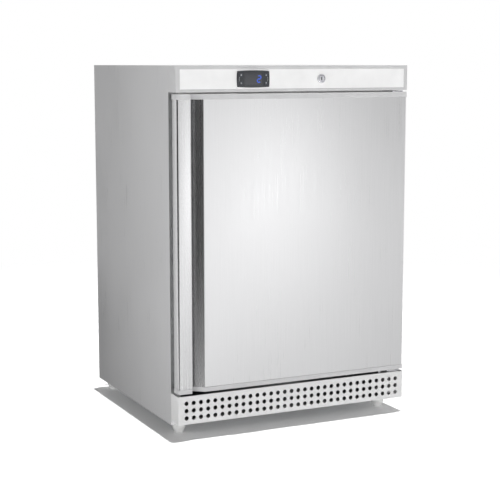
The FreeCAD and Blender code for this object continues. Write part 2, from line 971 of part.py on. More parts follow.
def door():
    handle = new_body("door_handle")
    wall = "profile_wall"
    outline = grip_outline("0")
    outline += [
        ("panel_left", "face"),
        ("panel_left", "face + profile_lip"),
        (f"panel_left - recess_slope + {wall} / 2", f"grip_back + {wall}"),
        (f"bar_left + grip_hollow - {wall}", f"grip_back + {wall}"),
        (f"bar_left + grip_hollow - {wall}", f"bar_front + {wall}"),
        (f"bar_left + {wall}", f"bar_front + {wall}"),
        (f"bar_left + {wall}", "door_back"),
    ]
    pad(handle, "XY", "skin_bottom", "skin_top", outline)
    round_edges(handle, "bar_round", {"x": "bar_left", "y": "bar_front"})

    skin = new_body("door_skin")
    outline = [
        ("panel_left", "face"),
        ("door_half", "face"),
        ("door_half", "door_back"),
        ("door_half - door_return", "door_back"),
        ("door_half - door_return", "door_back - skin"),
        ("door_half - skin", "door_back - skin"),
        ("door_half - skin", "face + skin"),
        ("panel_left", "face + skin"),
    ]
    pad(skin, "XY", "skin_bottom", "skin_top", outline)
    round_edges(skin, "door_round - skin", {"x": "door_half - skin", "y": "face + skin"})
    round_edges(skin, "door_round", {"x": "door_half", "y": "face"})

    foam = new_body("door_foam")
    outline = [
        ("bar_left + profile_wall + slack", "door_back - skin"),
        ("bar_left + profile_wall + slack", "grip_back + profile_wall + slack"),
        ("panel_left - recess_slope + profile_wall", "grip_back + profile_wall + slack"),
        ("panel_left + slack", "face + profile_lip + slack"),
        ("panel_left + slack", "face + skin"),
        ("door_half - door_round", "face + skin"),
        ("door_half - skin - slack", "face + door_round"),
        ("door_half - skin - slack", "door_back - skin"),
    ]
    pad(foam, "XY", "skin_bottom", "skin_top", outline)
    lip = "door_half - liner_inset - liner_wall"
    back = "door_back + liner_lip - liner_wall"
    low, high = "door_bottom + liner_inset + liner_wall", "door_top - liner_inset - liner_wall"
    neck = rect(f"-({lip}) + door_return", "skin_bottom", f"{lip} - door_return", "skin_top")
    pad(foam, "XZ", "door_back - skin", "door_back", neck)
    pad(foam, "XZ", "door_back", back, rect(f"-({lip})", low, lip, high))
    core = rect(
        "-pan_half + liner_wall",
        "pan_bottom + liner_wall",
        "pan_half - liner_wall",
        "pan_top - liner_wall",
    )
    pad(foam, "XZ", back, "door_back + pan_deep + liner_lip - liner_wall", core)

    liner = new_body("door_liner")
    edge = "door_half - liner_inset"
    outer = rect(f"-({edge})", "door_bottom + liner_inset", edge, "door_top - liner_inset")
    pad(liner, "XZ", "door_back", "gasket_front", outer)
    raised = rect("-pan_half", "pan_bottom", "pan_half", "pan_top")
    pad(liner, "XZ", "gasket_front", "gasket_front + pan_deep", raised)
    round_edges(
        liner,
        "liner_wall",
        {"y": "gasket_front + pan_deep"},
    )
    pocket(liner, "XZ", "door_back", back, rect(f"-({lip})", low, lip, high))
    pocket(liner, "XZ", back, "door_back + pan_deep + liner_lip - liner_wall", core)

    gasket = new_body("door_gasket")
    layers = [
        ("gasket_front", "gasket_front + gasket_fold", "0"),
        ("gasket_front + gasket_fold", "cabinet_front - gasket_fold", "gasket_fold"),
        ("cabinet_front - gasket_fold", "cabinet_front", "0"),
    ]
    for start, end, inset in layers:
        pad(
            gasket,
            "XZ",
            start,
            end,
            rect(
                f"-gasket_half + {inset}",
                f"gasket_bottom + {inset}",
                f"gasket_half - {inset}",
                f"gasket_top - {inset}",
            ),
            rect(
                f"-gasket_half + gasket_wide - {inset}",
                f"gasket_bottom + gasket_wide - {inset}",
                f"gasket_half - gasket_wide + {inset}",
                f"gasket_top - gasket_wide + {inset}",
            ),
        )
        doc.recompute()

    door_cap("door_cap_bottom", "door_bottom", "skin_bottom", False)
    door_cap("door_cap_top", "skin_top", "door_top", True)


# ---- hinges ---------------------------------------------------------------------


def hinge_bracket(label, low, high, leg_low, leg_high, screw_heights):
    """Angle bracket: a leg on the cabinet front and a plate that holds the pin."""
    bracket = new_body(label)
    inner = "hinge_right - hinge_wide"
    plate = rect(inner, "hinge_y - hinge_nose", "hinge_right", "cabinet_front")
    pad(bracket, "XY", low, high, plate)
    leg = rect(inner, leg_low, "hinge_right", leg_high)
    pad(bracket, "XZ", "cabinet_front - hinge_plate", "cabinet_front", leg)
    round_edges(
        bracket,
        "hinge_nose - pin_radius / 2",
        {"x": inner, "y": "hinge_y - hinge_nose"},
        {"x": "hinge_right", "y": "hinge_y - hinge_nose"},
    )
    pin_hole = disc("hinge_x", "hinge_y", "pin_radius + seat_fit")
    pocket(bracket, "XY", f"{low} - past", f"{high} + past", pin_hole)
    holes = [disc("hinge_screw_x", z, "hinge_screw_radius + seat_fit") for z in screw_heights]
    pocket(bracket, "XZ", "cabinet_front - hinge_plate - past", "cabinet_front", *holes)


def hinges():
    under = "door_bottom - bush_flange - seat_fit"
    over = "door_top + running_fit"
    shifts = ("- hinge_leg / 4", "+ hinge_leg / 4")
    low_screws = [f"{under} - hinge_leg / 2 {shift}" for shift in shifts]
    high_screws = [f"{over} + hinge_leg / 2 + hinge_plate {shift}" for shift in shifts]
    hinge_bracket(
        "hinge_bracket_bottom",
        f"{under} - hinge_plate",
        under,
        f"{under} - hinge_leg",
        under,
        low_screws,
    )
    hinge_bracket(
        "hinge_bracket_top", over, f"{over} + hinge_plate", over, f"{over} + hinge_leg", high_screws
    )

    pin_long = "hinge_plate + bush_flange + bush_long"
    bottom_pin = rod("Z", "hinge_x", "hinge_y", f"{under} - hinge_plate", "pin_radius", pin_long)
    top_start = "door_top - bush_long"
    top_long = f"{over} + hinge_plate - ({top_start})"
    top_pin = rod("Z", "hinge_x", "hinge_y", top_start, "pin_radius", top_long)
    group("hinge_pins", [bottom_pin, top_pin])

    bore = "pin_radius + running_fit"
    outer = f"{bore} + bush_wall"
    collar_start, rim = "door_bottom - bush_flange", f"{outer} + bush_wall"
    collar = rod("Z", "hinge_x", "hinge_y", collar_start, rim, "bush_flange")
    bottom_sleeve = rod("Z", "hinge_x", "hinge_y", "door_bottom", outer, "bush_long")
    top_sleeve = rod("Z", "hinge_x", "hinge_y", top_start, outer, "bush_long")
    bushes = [
        cut(sleeve, rod("Z", "hinge_x", "hinge_y", f"{start} - past", bore, f"{long} + 2 * past"))
        for sleeve, start, long in (
            (fuse(bottom_sleeve, collar), collar_start, "bush_flange + bush_long"),
            (top_sleeve, top_start, "bush_long"),
        )
    ]
    group("hinge_bushes", bushes)

    screws = [
        screw(
            "Y",
            "hinge_screw_x",
            "cabinet_front - hinge_plate",
            height,
            "hinge_screw_radius",
            "hinge_plate",
            "bolt_head",
            "bolt_radius",
        )
        for height in low_screws + high_screws
    ]
    group("hinge_screws", screws)


# ---- feet -----------------------------------------------------------------------


def feet():
    names = ("front_left", "front_right", "rear_left", "rear_right")
    for name, (x, y) in zip(names, foot_spots):
        foot = new_body("foot_" + name)
        profile = [
            ("0", "0"),
            ("pad_bottom - pad_edge", "0"),
            ("pad_bottom", "pad_edge"),
            ("pad_top", "pad_flare"),
            ("pad_top", "pad_tall"),
            ("stud_radius", "pad_tall"),
            ("stud_radius", "foot_height + stud_above"),
            ("0", "foot_height + stud_above"),
        ]
        revolve(foot, profile)
        place(foot, x, y, "0")
    nuts = []
    for x, y in foot_spots:
        prism = doc.addObject("Part::Prism", "nut")
        prism.Polygon = 6
        prism.setExpression("Circumradius", formula("nut_radius"))
        prism.setExpression("Height", formula("nut_tall"))
        place(prism, x, y, "tray_top")
        thread = rod("Z", x, y, "tray_top - past", "stud_radius + running_fit", "nut_tall + 2 * past")
        nuts.append(cut(prism, thread))
    group("foot_nuts", nuts)


# ---- food room ------------------------------------------------------------------


def shelf(label, level):
    """Welded wire shelf: a round frame, two cross rods and a row of thin rods."""
    body = new_body(label)
    frame = [
        rect("-shelf_half", "shelf_front", "shelf_half", "shelf_back"),
        rect(
            "-shelf_half + shelf_wire",
            "shelf_front + shelf_wire",
            "shelf_half - shelf_wire",
            "shelf_back - shelf_wire",
        ),
    ]
    pad(body, "XY", level, f"{level} + shelf_wire", *frame)
    centre = f"{level} + shelf_wire / 2"
    cross = disc("shelf_front + shelf_long / 3", centre, "shelf_wire / 2")
    other = disc("shelf_back - shelf_long / 3", centre, "shelf_wire / 2")
    pad(body, "YZ", "-shelf_half + shelf_wire / 2", "shelf_half - shelf_wire / 2", cross, other)
    top = f"{level} + shelf_wire - shelf_rod / 2"
    thin = disc("-floor(shelf_half / shelf_pitch) * shelf_pitch", top, "shelf_rod / 2")
    rods = pad(body, "XZ", "shelf_front + shelf_wire / 2", "shelf_back - shelf_wire / 2", thin)
    doc.recompute()
    repeat(body, [rods], "X", "shelf_pitch", "2 * floor(shelf_half / shelf_pitch) + past")


def cooling_in_room():
    plate = new_body("evaporator")
    half = "evaporator_wide / 2"
    top = "plate_bottom + evaporator_tall"
    pad(plate, "XZ", "plate_front", "plate_back", rect(f"-{half}", "plate_bottom", half, top))
    posts = [
        disc(f"{side} * ({half} - post_inset)", height, "post_radius")
        for side in ("-1", "1")
        for height in ("plate_bottom + post_inset", f"{top} - post_inset")
    ]
    pad(plate, "XZ", "plate_back", "liner_back", *posts)
    passage = rect(
        f"-{half} + passage_inset",
        "plate_bottom + passage_inset",
        f"{half} - passage_inset",
        "plate_bottom + passage_inset + passage_tall",
    )
    channel = pad(plate, "XZ", "plate_front - passage_proud", "plate_front", passage)
    doc.recompute()
    repeat(plate, [channel], "Z", "passage_pitch", "passage_count")

    shroud = new_body("fan_shroud")
    reach = "shroud_wide / 2"
    box = rect(f"-{reach}", f"fan_z - {reach}", reach, f"fan_z + {reach}")
    pad(shroud, "XZ", "shroud_front", "plate_front", box)
    inner = f"{reach} - shroud_wall"
    hollow = rect(f"-({inner})", f"fan_z - ({inner})", inner, f"fan_z + {inner}")
    pocket(shroud, "XZ", "shroud_front + shroud_wall", "plate_front", hollow)
    pocket(shroud, "XZ", "shroud_front - past", "motor_front", disc("0", "fan_z", "fan_mouth"))
    bar = "spoke_wide / 2"
    upright = rect(f"-{bar}", "fan_z - fan_mouth - past", bar, "fan_z + fan_mouth + past")
    level = rect("-fan_mouth - past", f"fan_z - {bar}", "fan_mouth + past", f"fan_z + {bar}")
    for spoke in (upright, level, disc("0", "fan_z", "motor_radius")):
        pad(shroud, "XZ", "shroud_front", "motor_front", spoke)
        doc.recompute()

    motor_can = rod("Y", "0", "motor_front", "fan_z", "motor_radius", "motor_long")
    shaft = rod("Y", "0", "motor_back", "fan_z", "fan_shaft", "fan_deep + shaft_proud")
    node(fuse(motor_can, shaft), "fan_motor")

    hub_start = value("motor_back + slack")
    deep, centre_z = value("fan_deep"), value("fan_z")
    hub = Part.makeCylinder(
        value("fan_hub"), deep, FreeCAD.Vector(0, hub_start, centre_z), FreeCAD.Vector(0, 1, 0)
    )
    blades = []
    for index in range(int(value("fan_blades"))):
        blade = Part.makeBox(
            value("fan_radius - fan_hub + past"),
            value("fan_blade"),
            value("blade_wide"),
            FreeCAD.Vector(value("fan_hub - past"), -value("fan_blade") / 2, -value("blade_wide") / 2),
        )
        blade.rotate(FreeCAD.Vector(), FreeCAD.Vector(1, 0, 0), value("fan_pitch") - 90)
        blade.rotate(FreeCAD.Vector(), FreeCAD.Vector(0, 1, 0), 360 * index / value("fan_blades"))
        blade.translate(FreeCAD.Vector(0, hub_start + deep / 2, centre_z))
        blades.append(blade)
    slab = Part.makeCylinder(
        value("fan_radius"), deep, FreeCAD.Vector(0, hub_start, centre_z), FreeCAD.Vector(0, 1, 0)
    )
    bore = Part.makeCylinder(
        value("fan_shaft + running_fit"),
        value("fan_deep + 2 * past"),
        FreeCAD.Vector(0, hub_start - value("past"), centre_z),
        FreeCAD.Vector(0, 1, 0),
    )
    shaped("fan_blades", hub.fuse(blades).common(slab).cut(bore))

    channel = new_body("drip_channel")
    half = "channel_wide / 2"
    outer = rect(f"-{half}", "channel_front", half, "channel_back")
    pad(channel, "XY", "channel_bottom", "channel_bottom + channel_tall", outer)
    trough = rect(
        f"-{half} + channel_wall",
        "channel_front + channel_wall",
        f"{half} - channel_wall",
        "channel_back - channel_wall",
    )
    pocket(channel, "XY", "channel_bottom + channel_wall", "channel_bottom + channel_tall", trough)
    drain = disc("drain_x", "drain_y", "drain_radius - channel_wall")
    pocket(channel, "XY", "channel_bottom - past", "channel_bottom + channel_wall + past", drain)
    line_pass = disc("suction_x", "suction_y", "line_radius + slack")
    pocket(channel, "XY", "channel_bottom - past", "channel_bottom + channel_wall + past", line_pass)

    tube_bottom = "shell_top + pan_tall / 2"
    tube_long = f"channel_bottom - ({tube_bottom})"
    pipe = rod("Z", "drain_x", "drain_y", tube_bottom, "drain_radius", tube_long)
    hole = rod("Z", "drain_x", "drain_y", tube_bottom, "drain_radius - channel_wall", tube_long)
    node(cut(pipe, hole), "drain_tube")

    probe_x = "opening_half - probe_radius - slack"
    probe_y = "shelf_back - probe_forward"
    probe = rod("Z", probe_x, probe_y, "fan_z", "probe_radius", "probe_long")
    clip = block(
        ("opening_half - probe_radius", "opening_half"),
        (f"{probe_y} - probe_radius", f"{probe_y} + probe_radius"),
        ("fan_z + probe_long / 3", "fan_z + probe_long / 2"),
    )
    node(fuse(probe, clip), "temperature_probe")


# ---- machine bay ----------------------------------------------------------------


def machine_bay():
    lower = doc.addObject("PartDesign::Body", "shell_lower")
    inner = "compressor_radius - compressor_wall"
    revolve(
        lower,
        [
            ("0", "0"),
            ("compressor_radius - compressor_round", "0"),
            ("compressor_radius", "compressor_round"),
            ("compressor_radius", "seam_height"),
            (inner, "seam_height"),
            (inner, "compressor_round"),
            ("compressor_radius - compressor_round", "compressor_wall"),
            ("0", "compressor_wall"),
        ],
    )
    place(lower, "compressor_x", "compressor_y", "shell_bottom")
    upper = doc.addObject("PartDesign::Body", "shell_upper")
    revolve(
        upper,
        [
            ("0", "compressor_tall"),
            ("compressor_radius - compressor_round", "compressor_tall"),
            ("compressor_radius", "compressor_tall - compressor_round"),
            ("compressor_radius", "seam_height"),
            (inner, "seam_height"),
            (inner, "compressor_tall - compressor_round"),
            ("compressor_radius - compressor_round", "compressor_tall - compressor_wall"),
            ("0", "compressor_tall - compressor_wall"),
        ],
    )
    place(upper, "compressor_x", "compressor_y", "shell_bottom")
    ear_x = ("compressor_x - ear_wide / 2", "compressor_x + ear_wide / 2")
    ear_y = ("compressor_y - ear_deep / 2", "compressor_y + ear_deep / 2")
    ears = block(ear_x, ear_y, ("ear_bottom", "shell_bottom"))
    hole_radius, hole_long = "bolt_radius + seat_fit", "ear_sheet + 2 * past"
    bolt_holes = [rod("Z", x, y, "ear_bottom - past", hole_radius, hole_long) for x, y in ear_spots]
    group("compressor_shell", [fuse(cut(ears, *bolt_holes), lower), upper])

    pump = rod(
        "Z",
        "compressor_x",
        "compressor_y",
        "shell_bottom + compressor_wall",
        "compressor_radius - compressor_round - compressor_wall",
        "compressor_tall - 3 * compressor_wall",
    )
    node(pump, "compressor_pump")

    grommets, bolts = [], []
    for x, y in ear_spots:
        ring = rod("Z", x, y, "tray_top", "grommet_radius", "grommet_tall")
        hole = rod("Z", x, y, "tray_top - past", "bolt_radius + seat_fit", "grommet_tall + 2 * past")
        grommets.append(cut(ring, hole))
        head = rod("Z", x, y, "shell_bottom", "bolt_head", "bolt_radius")
        shank_long = "shell_bottom - foot_height"
        bolts.append(fuse(head, rod("Z", x, y, "foot_height", "bolt_radius - seat_fit", shank_long)))
    group("compressor_grommets", grommets)
    group("compressor_bolts", bolts)

    relay_left = "compressor_x + compressor_radius + slack"
    relay = block(
        (relay_left, f"{relay_left} + relay_wide"),
        ("compressor_y - relay_deep / 2", "compressor_y + relay_deep / 2"),
        ("shell_bottom + compressor_round", "shell_bottom + compressor_round + relay_tall"),
    )
    node(relay, "relay_box")

    pan = new_body("evaporation_pan")
    left, right = "compressor_x - pan_wide / 2", "compressor_x + pan_wide / 2"
    near, far = "compressor_y - pan_long / 2", "compressor_y + pan_long / 2"
    pad(pan, "XY", "shell_top", "shell_top + pan_tall", rect(left, near, right, far))
    basin = rect(
        f"{left} + pan_wall", f"{near} + pan_wall", f"{right} - pan_wall", f"{far} - pan_wall"
    )
    pocket(pan, "XY", "shell_top + pan_wall", "shell_top + pan_tall", basin)

    gland_height = "foot_height + gland_z"
    barrel_radius = "gland_radius - seat_fit"
    rim_radius = "gland_radius + gland_rim"
    gland = rod("Y", "gland_x", "foam_back - skin", gland_height, barrel_radius, "gland_long")
    flange = rod("Y", "gland_x", "cabinet_back - skin", gland_height, rim_radius, "gland_flange")
    bore_start, bore_long = "foam_back - skin - past", "gland_long + 2 * past"
    bore = rod("Y", "gland_x", bore_start, gland_height, "gland_bore", bore_long)
    node(cut(fuse(gland, flange), bore), "mains_inlet")


# ---- condenser and pipes --------------------------------------------------------


def condenser():
    radius, y = value("coil_radius"), value("coil_y")
    half, pitch = value("coil_half"), value("coil_pitch")
    low, passes = value("coil_low"), int(value("coil_passes"))
    points = []
    for index in range(passes):
        ends = [half, -half] if index % 2 else [-half, half]
        points += [(x, y, low + index * pitch) for x in ends]
    # just under half the pitch, so that each turn keeps a short straight
    coil = bent_tube(points, radius, pitch / 2 - value("running_fit"))
    wire = value("wire_radius")
    away = radius + wire - value("wire_sink")
    tall = value("coil_high - coil_low") + 4 * radius
    wires = []
    for index in range(int(value("wire_count"))):
        x = value("wire_pitch") * (index - (value("wire_count") - 1) / 2)
        for side in (-1, 1):
            spot = FreeCAD.Vector(x, y + side * away, low - 2 * radius)
            wires.append(Part.makeCylinder(wire, tall, spot))
    shaped("condenser", coil.fuse(wires))

    spacers = []
    for side in ("-1", "1"):
        inner = f"{side} * (coil_half + coil_radius + slack)"
        outer = f"{side} * (coil_half + coil_radius + slack + spacer_wide)"
        span = (outer, inner) if side == "-1" else (inner, outer)
        for low_z in ("coil_low + spacer_tall", "coil_high - 2 * spacer_tall"):
            spacers.append(
                block(span, ("cabinet_back - skin", "rear"), (low_z, f"{low_z} + spacer_tall"))
            )
    group("condenser_spacers", spacers)


def pipes():
    radius, bend = value("line_radius"), value("line_bend")
    shell_x, shell_y = value("compressor_x"), value("compressor_y")
    reach = value("compressor_radius + slack")
    middle = value("shell_bottom + compressor_tall / 2")
    coil_y, coil_low, coil_high = value("coil_y"), value("coil_low"), value("coil_high")
    coil_left, riser_x = -value("coil_half"), value("left + riser_inset")

    discharge = [
        (shell_x - reach, shell_y, middle),
        (riser_x, shell_y, middle),
        (riser_x, coil_y, middle),
        (riser_x, coil_y, coil_high),
        (coil_left, coil_y, coil_high),
    ]
    shaped("discharge_line", bent_tube(discharge, radius, bend))

    suction_x, suction_y = value("suction_x"), value("suction_y")
    suction = [
        (suction_x, suction_y, value("plate_bottom - slack")),
        (suction_x, suction_y, value("shell_top - compressor_round")),
        (shell_x + reach + value("suction_stub"), shell_y, value("shell_top - 2 * compressor_round")),
        (shell_x + reach, shell_y, value("shell_top - 2 * compressor_round")),
    ]
    shaped("suction_line", bent_tube(suction, radius, bend))

    drier_x = coil_left - bend
    drier_top = coil_low - value("drier_drop")
    drier_low = drier_top - value("drier_long")
    elbow = bent_tube(
        [(coil_left, coil_y, coil_low), (drier_x, coil_y, coil_low), (drier_x, coil_y, drier_top)],
        value("coil_radius"),
        value("drier_bend"),
    )
    drier = Part.makeCylinder(
        value("drier_radius"), value("drier_long"), FreeCAD.Vector(drier_x, coil_y, drier_low)
    )
    loop = value("capillary_loop")
    capillary = bent_tube(
        [
            (drier_x, coil_y, drier_low),
            (drier_x, coil_y, drier_low - loop),
            (drier_x, coil_y - 2 * loop, drier_low - loop),
            (drier_x, coil_y - 2 * loop, value("bay_top - skin")),
        ],
        value("capillary_radius"),
        value("capillary_bend"),
    )
    shaped("filter_drier", drier.fuse([elbow, capillary]))


# ---- where repeated things stand ------------------------------------------------

foot_x, foot_front = "width / 2 - foot_inset", "cabinet_front + foot_back"
foot_rear = "cabinet_back - foot_back"
foot_spots = [
    (f"-({foot_x})", foot_front),
    (foot_x, foot_front),
    (f"-({foot_x})", foot_rear),
    (foot_x, foot_rear),
]
ear_x, ear_y = "(ear_wide / 2 - ear_inset)", "(ear_deep / 2 - ear_inset)"
ear_spots = [
    (f"compressor_x {sign_x} {ear_x}", f"compressor_y {sign_y} {ear_y}")
    for sign_x in "-+"
    for sign_y in "-+"
]
pipe_holes = [
    disc("drain_x", "drain_y", "drain_radius + slack"),
    disc("suction_x", "suction_y", "line_radius + slack"),
]
key_places = [
    ("-1", "1", "upper_left"),
    ("-1", "-1", "lower_left"),
    ("1", "1", "upper_right"),
    ("1", "-1", "lower_right"),
]
shelf_levels = [f"shelf_top - {count} * shelf_step" for count in (2, 1, 0)]

cabinet_shell()
insulated_box()
fascia()
controller()
lock()
grille()
door()
hinges()
feet()
for shelf_name, shelf_level in zip(("shelf_lower", "shelf_middle", "shelf_upper"), shelf_levels):
    shelf(shelf_name, shelf_level)
cooling_in_room()
machine_bay()
condenser()
pipes()

# ---- checks and files -----------------------------------------------------------

doc.recompute()
for thing in doc.Objects:
    if "Invalid" in thing.State or "Error" in thing.State:
        raise RuntimeError(f"{thing.Label} ({thing.Name}) failed: {thing.State}")
for thing in nodes:
    if thing.Shape.isNull() or not thing.Shape.isValid():
        raise RuntimeError(f"{thing.Label} has no valid shape")
os.makedirs("parts", exist_ok=True)
for thing in nodes:
    thing.Shape.exportStep(f"parts/{thing.Label}.step")
print(len(nodes), "pieces")
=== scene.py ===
import bpy
import bmesh
import math
from mathutils import Matrix, Vector


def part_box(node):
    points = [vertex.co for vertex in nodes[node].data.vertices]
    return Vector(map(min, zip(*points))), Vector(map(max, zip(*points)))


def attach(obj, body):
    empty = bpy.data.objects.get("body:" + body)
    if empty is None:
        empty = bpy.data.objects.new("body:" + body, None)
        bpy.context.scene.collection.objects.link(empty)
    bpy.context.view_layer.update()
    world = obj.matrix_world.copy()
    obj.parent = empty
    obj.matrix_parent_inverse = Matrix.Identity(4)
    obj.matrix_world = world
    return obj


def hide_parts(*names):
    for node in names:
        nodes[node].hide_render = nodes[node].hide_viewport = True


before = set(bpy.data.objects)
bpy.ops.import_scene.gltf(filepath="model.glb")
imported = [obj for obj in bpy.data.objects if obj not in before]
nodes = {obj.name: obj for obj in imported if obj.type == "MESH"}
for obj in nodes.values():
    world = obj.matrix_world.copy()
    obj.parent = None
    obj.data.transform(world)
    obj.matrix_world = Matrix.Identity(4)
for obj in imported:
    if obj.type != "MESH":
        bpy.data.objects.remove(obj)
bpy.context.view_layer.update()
mm = 0.001
print("frame loaded:", len(nodes), "nodes")


# nodes and finishes

# sRGB hex to linear colour with full alpha
def hexColour(text):
    channels = [int(text[i:i + 2], 16) / 255 for i in (0, 2, 4)]
    linear = [c / 12.92 if c <= 0.04045 else ((c + 0.055) / 1.055) ** 2.4 for c in channels]
    return (*linear, 1.0)


# adds a node; settings are properties or socket values, links are sockets to plug in
def addNode(tree, kind, settings=None, links=None):
    node = tree.nodes.new(kind)
    for key, value in (settings or {}).items():
        if isinstance(key, int) or key in node.inputs:
            node.inputs[key].default_value = value
        else:
            setattr(node, key, value)
    for key, socket in (links or {}).items():
        tree.links.new(socket, node.inputs[key])
    return node


def newFinish(name):
    material = bpy.data.materials.new(name)
    material.use_nodes = True
    tree = material.node_tree
    tree.nodes.clear()
    place = addNode(tree, "ShaderNodeTexCoord").outputs["Object"]
    shader = addNode(tree, "ShaderNodeBsdfPrincipled")
    addNode(tree, "ShaderNodeOutputMaterial", links={"Surface": shader.outputs[0]})
    return material, tree, place, shader


# cloudy noise whose cells are size millimetres in x, y, z
def grainPattern(tree, place, size, detail=3.0, rough=0.55):
    scale = [1 / (length * mm) for length in size]
    spot = addNode(tree, "ShaderNodeMapping", {"Scale": scale}, {"Vector": place}).outputs[0]
    settings = {"Scale": 1.0, "Detail": detail, "Roughness": rough}
    return addNode(tree, "ShaderNodeTexNoise", settings, {"Vector": spot}).outputs["Fac"]


# flat crystals or cells, each size millimetres across
def cellPattern(tree, place, size, output):
    spot = addNode(tree, "ShaderNodeMapping", {"Scale": [1 / (size * mm)] * 3}, {"Vector": place}).outputs[0]
    return addNode(tree, "ShaderNodeTexVoronoi", {"Scale": 1.0}, {"Vector": spot}).outputs[output]


# spreads a pattern over a colour, a roughness and a relief; span is the part of it that is used
def dressSurface(tree, shader, tone, colours, skin, rough=None, relief=None, span=(0.3, 0.7)):
    mixed = addNode(tree, "ShaderNodeValToRGB", links={"Fac": tone})
    for element, position, colour in zip(mixed.color_ramp.elements, span, colours):
        element.position, element.color = position, hexColour(colour)
    tree.links.new(mixed.outputs["Color"], shader.inputs["Base Color"])
    if rough:
        settings = {"From Min": 0.3, "From Max": 0.7, "To Min": rough[0], "To Max": rough[1]}
        gloss = addNode(tree, "ShaderNodeMapRange", settings, {"Value": skin})
        tree.links.new(gloss.outputs[0], shader.inputs["Roughness"])
    if relief:
        settings = {"Strength": relief[0], "Distance": relief[1] * mm}
        raised = addNode(tree, "ShaderNodeBump", settings, {"Height": skin})
        tree.links.new(raised.outputs[0], shader.inputs["Normal"])


# rolled sheet with a belt-ground grain: long fine streaks that blur reflections across the grain
def brushedSheet(name, low, high, grain, rough=(0.26, 0.36), depth=0.004):
    material, tree, place, shader = newFinish(name)
    streak = grainPattern(tree, place, grain, 4.0, 0.6)
    cloud = grainPattern(tree, place, (160, 160, 260), 2.0)
    soft = addNode(tree, "ShaderNodeMath", {"operation": "MULTIPLY", 1: 0.25}, {0: cloud}).outputs[0]
    both = addNode(
        tree, "ShaderNodeMath", {"operation": "MULTIPLY_ADD", 1: 0.75}, {0: streak, 2: soft}
    ).outputs[0]
    dressSurface(tree, shader, both, (low, high), both, rough)
    raised = addNode(
        tree, "ShaderNodeBump", {"Strength": 0.35, "Distance": depth * mm}, {"Height": streak}
    ).outputs[0]
    tree.links.new(raised, shader.inputs["Normal"])
    shader.inputs["Metallic"].default_value = 1.0
    return material


# injection-moulded resin: even colour, a fine spark-eroded texture and faint flow clouds
def mouldedPlastic(name, low, high, rough=(0.32, 0.42), grain=0.9, depth=0.02, coat=0.0):
    material, tree, place, shader = newFinish(name)
    cloud = grainPattern(tree, place, (45, 45, 45), 2.0)
    skin = grainPattern(tree, place, (grain, grain, grain))
    dressSurface(tree, shader, cloud, (low, high), skin, rough, (0.3, depth))
    shader.inputs["IOR"].default_value = 1.5
    shader.inputs["Coat Weight"].default_value = coat
    shader.inputs["Coat Roughness"].default_value = 0.08
    return material


# electroplated steel: a hard mirror with faint handling haze
def platedMetal(name, low, high, rough=(0.08, 0.16)):
    material, tree, place, shader = newFinish(name)
    haze = grainPattern(tree, place, (6, 6, 6), 4.0)
    dressSurface(tree, shader, haze, (low, high), haze, rough)
    shader.inputs["Metallic"].default_value = 1.0
    return material


# hot-dip zinc: flat crystals a centimetre or so across, each a slightly different grey
def galvanisedSheet(name, low, high):
    material, tree, place, shader = newFinish(name)
    tint = cellPattern(tree, place, 11, "Color")
    grey = addNode(tree, "ShaderNodeSeparateColor", links={"Color": tint}).outputs[0]
    dressSurface(tree, shader, grey, (low, high), grey, (0.38, 0.52), (0.1, 0.02), (0.0, 1.0))
    shader.inputs["Metallic"].default_value = 1.0
    return material


# powder coat or enamel over steel: a slight orange peel in an even colour
def bakedPaint(name, low, high, rough=(0.3, 0.4), grain=1.4, depth=0.03):
    material, tree, place, shader = newFinish(name)
    peel = grainPattern(tree, place, (grain, grain, grain), 2.0)
    cloud = grainPattern(tree, place, (60, 60, 60), 2.0)
    dressSurface(tree, shader, cloud, (low, high), peel, rough, (0.35, depth))
    shader.inputs["Coat Weight"].default_value = 0.15
    return material


# extruded PVC or moulded rubber: dull, with a dusty bloom
def softRubber(name, low, high, rough=(0.5, 0.65)):
    material, tree, place, shader = newFinish(name)
    bloom = grainPattern(tree, place, (9, 9, 9), 5.0, 0.7)
    dressSurface(tree, shader, bloom, (low, high), bloom, rough, (0.2, 0.04))
    shader.inputs["Specular IOR Level"].default_value = 0.35
    return material


# blown polyurethane: cream, with closed cells under a millimetre, drawn at 2 mm so that they show
def rigidFoam(name):
    material, tree, place, shader = newFinish(name)
    cells = cellPattern(tree, place, 2, "Distance")
    dressSurface(tree, shader, cells, ("d9c58c", "efe2b8"), cells, relief=(0.5, 0.3))
    shader.inputs["Roughness"].default_value = 0.9
    return material


# a glowing display segment; the glow is uneven from its diode
def litSegment(name, colour, strength):
    material, tree, place, shader = newFinish(name)
    glow = grainPattern(tree, place, (4, 4, 4), 1.0)
    settings = {"From Min": 0.3, "From Max": 0.7, "To Min": strength * 0.8, "To Max": strength * 1.2}
    power = addNode(tree, "ShaderNodeMapRange", settings, {"Value": glow}).outputs[0]
    tree.links.new(power, shader.inputs["Emission Strength"])
    shader.inputs["Emission Color"].default_value = hexColour(colour)
    shader.inputs["Base Color"].default_value = hexColour(colour)
    shader.inputs["Roughness"].default_value = 0.5
    return material


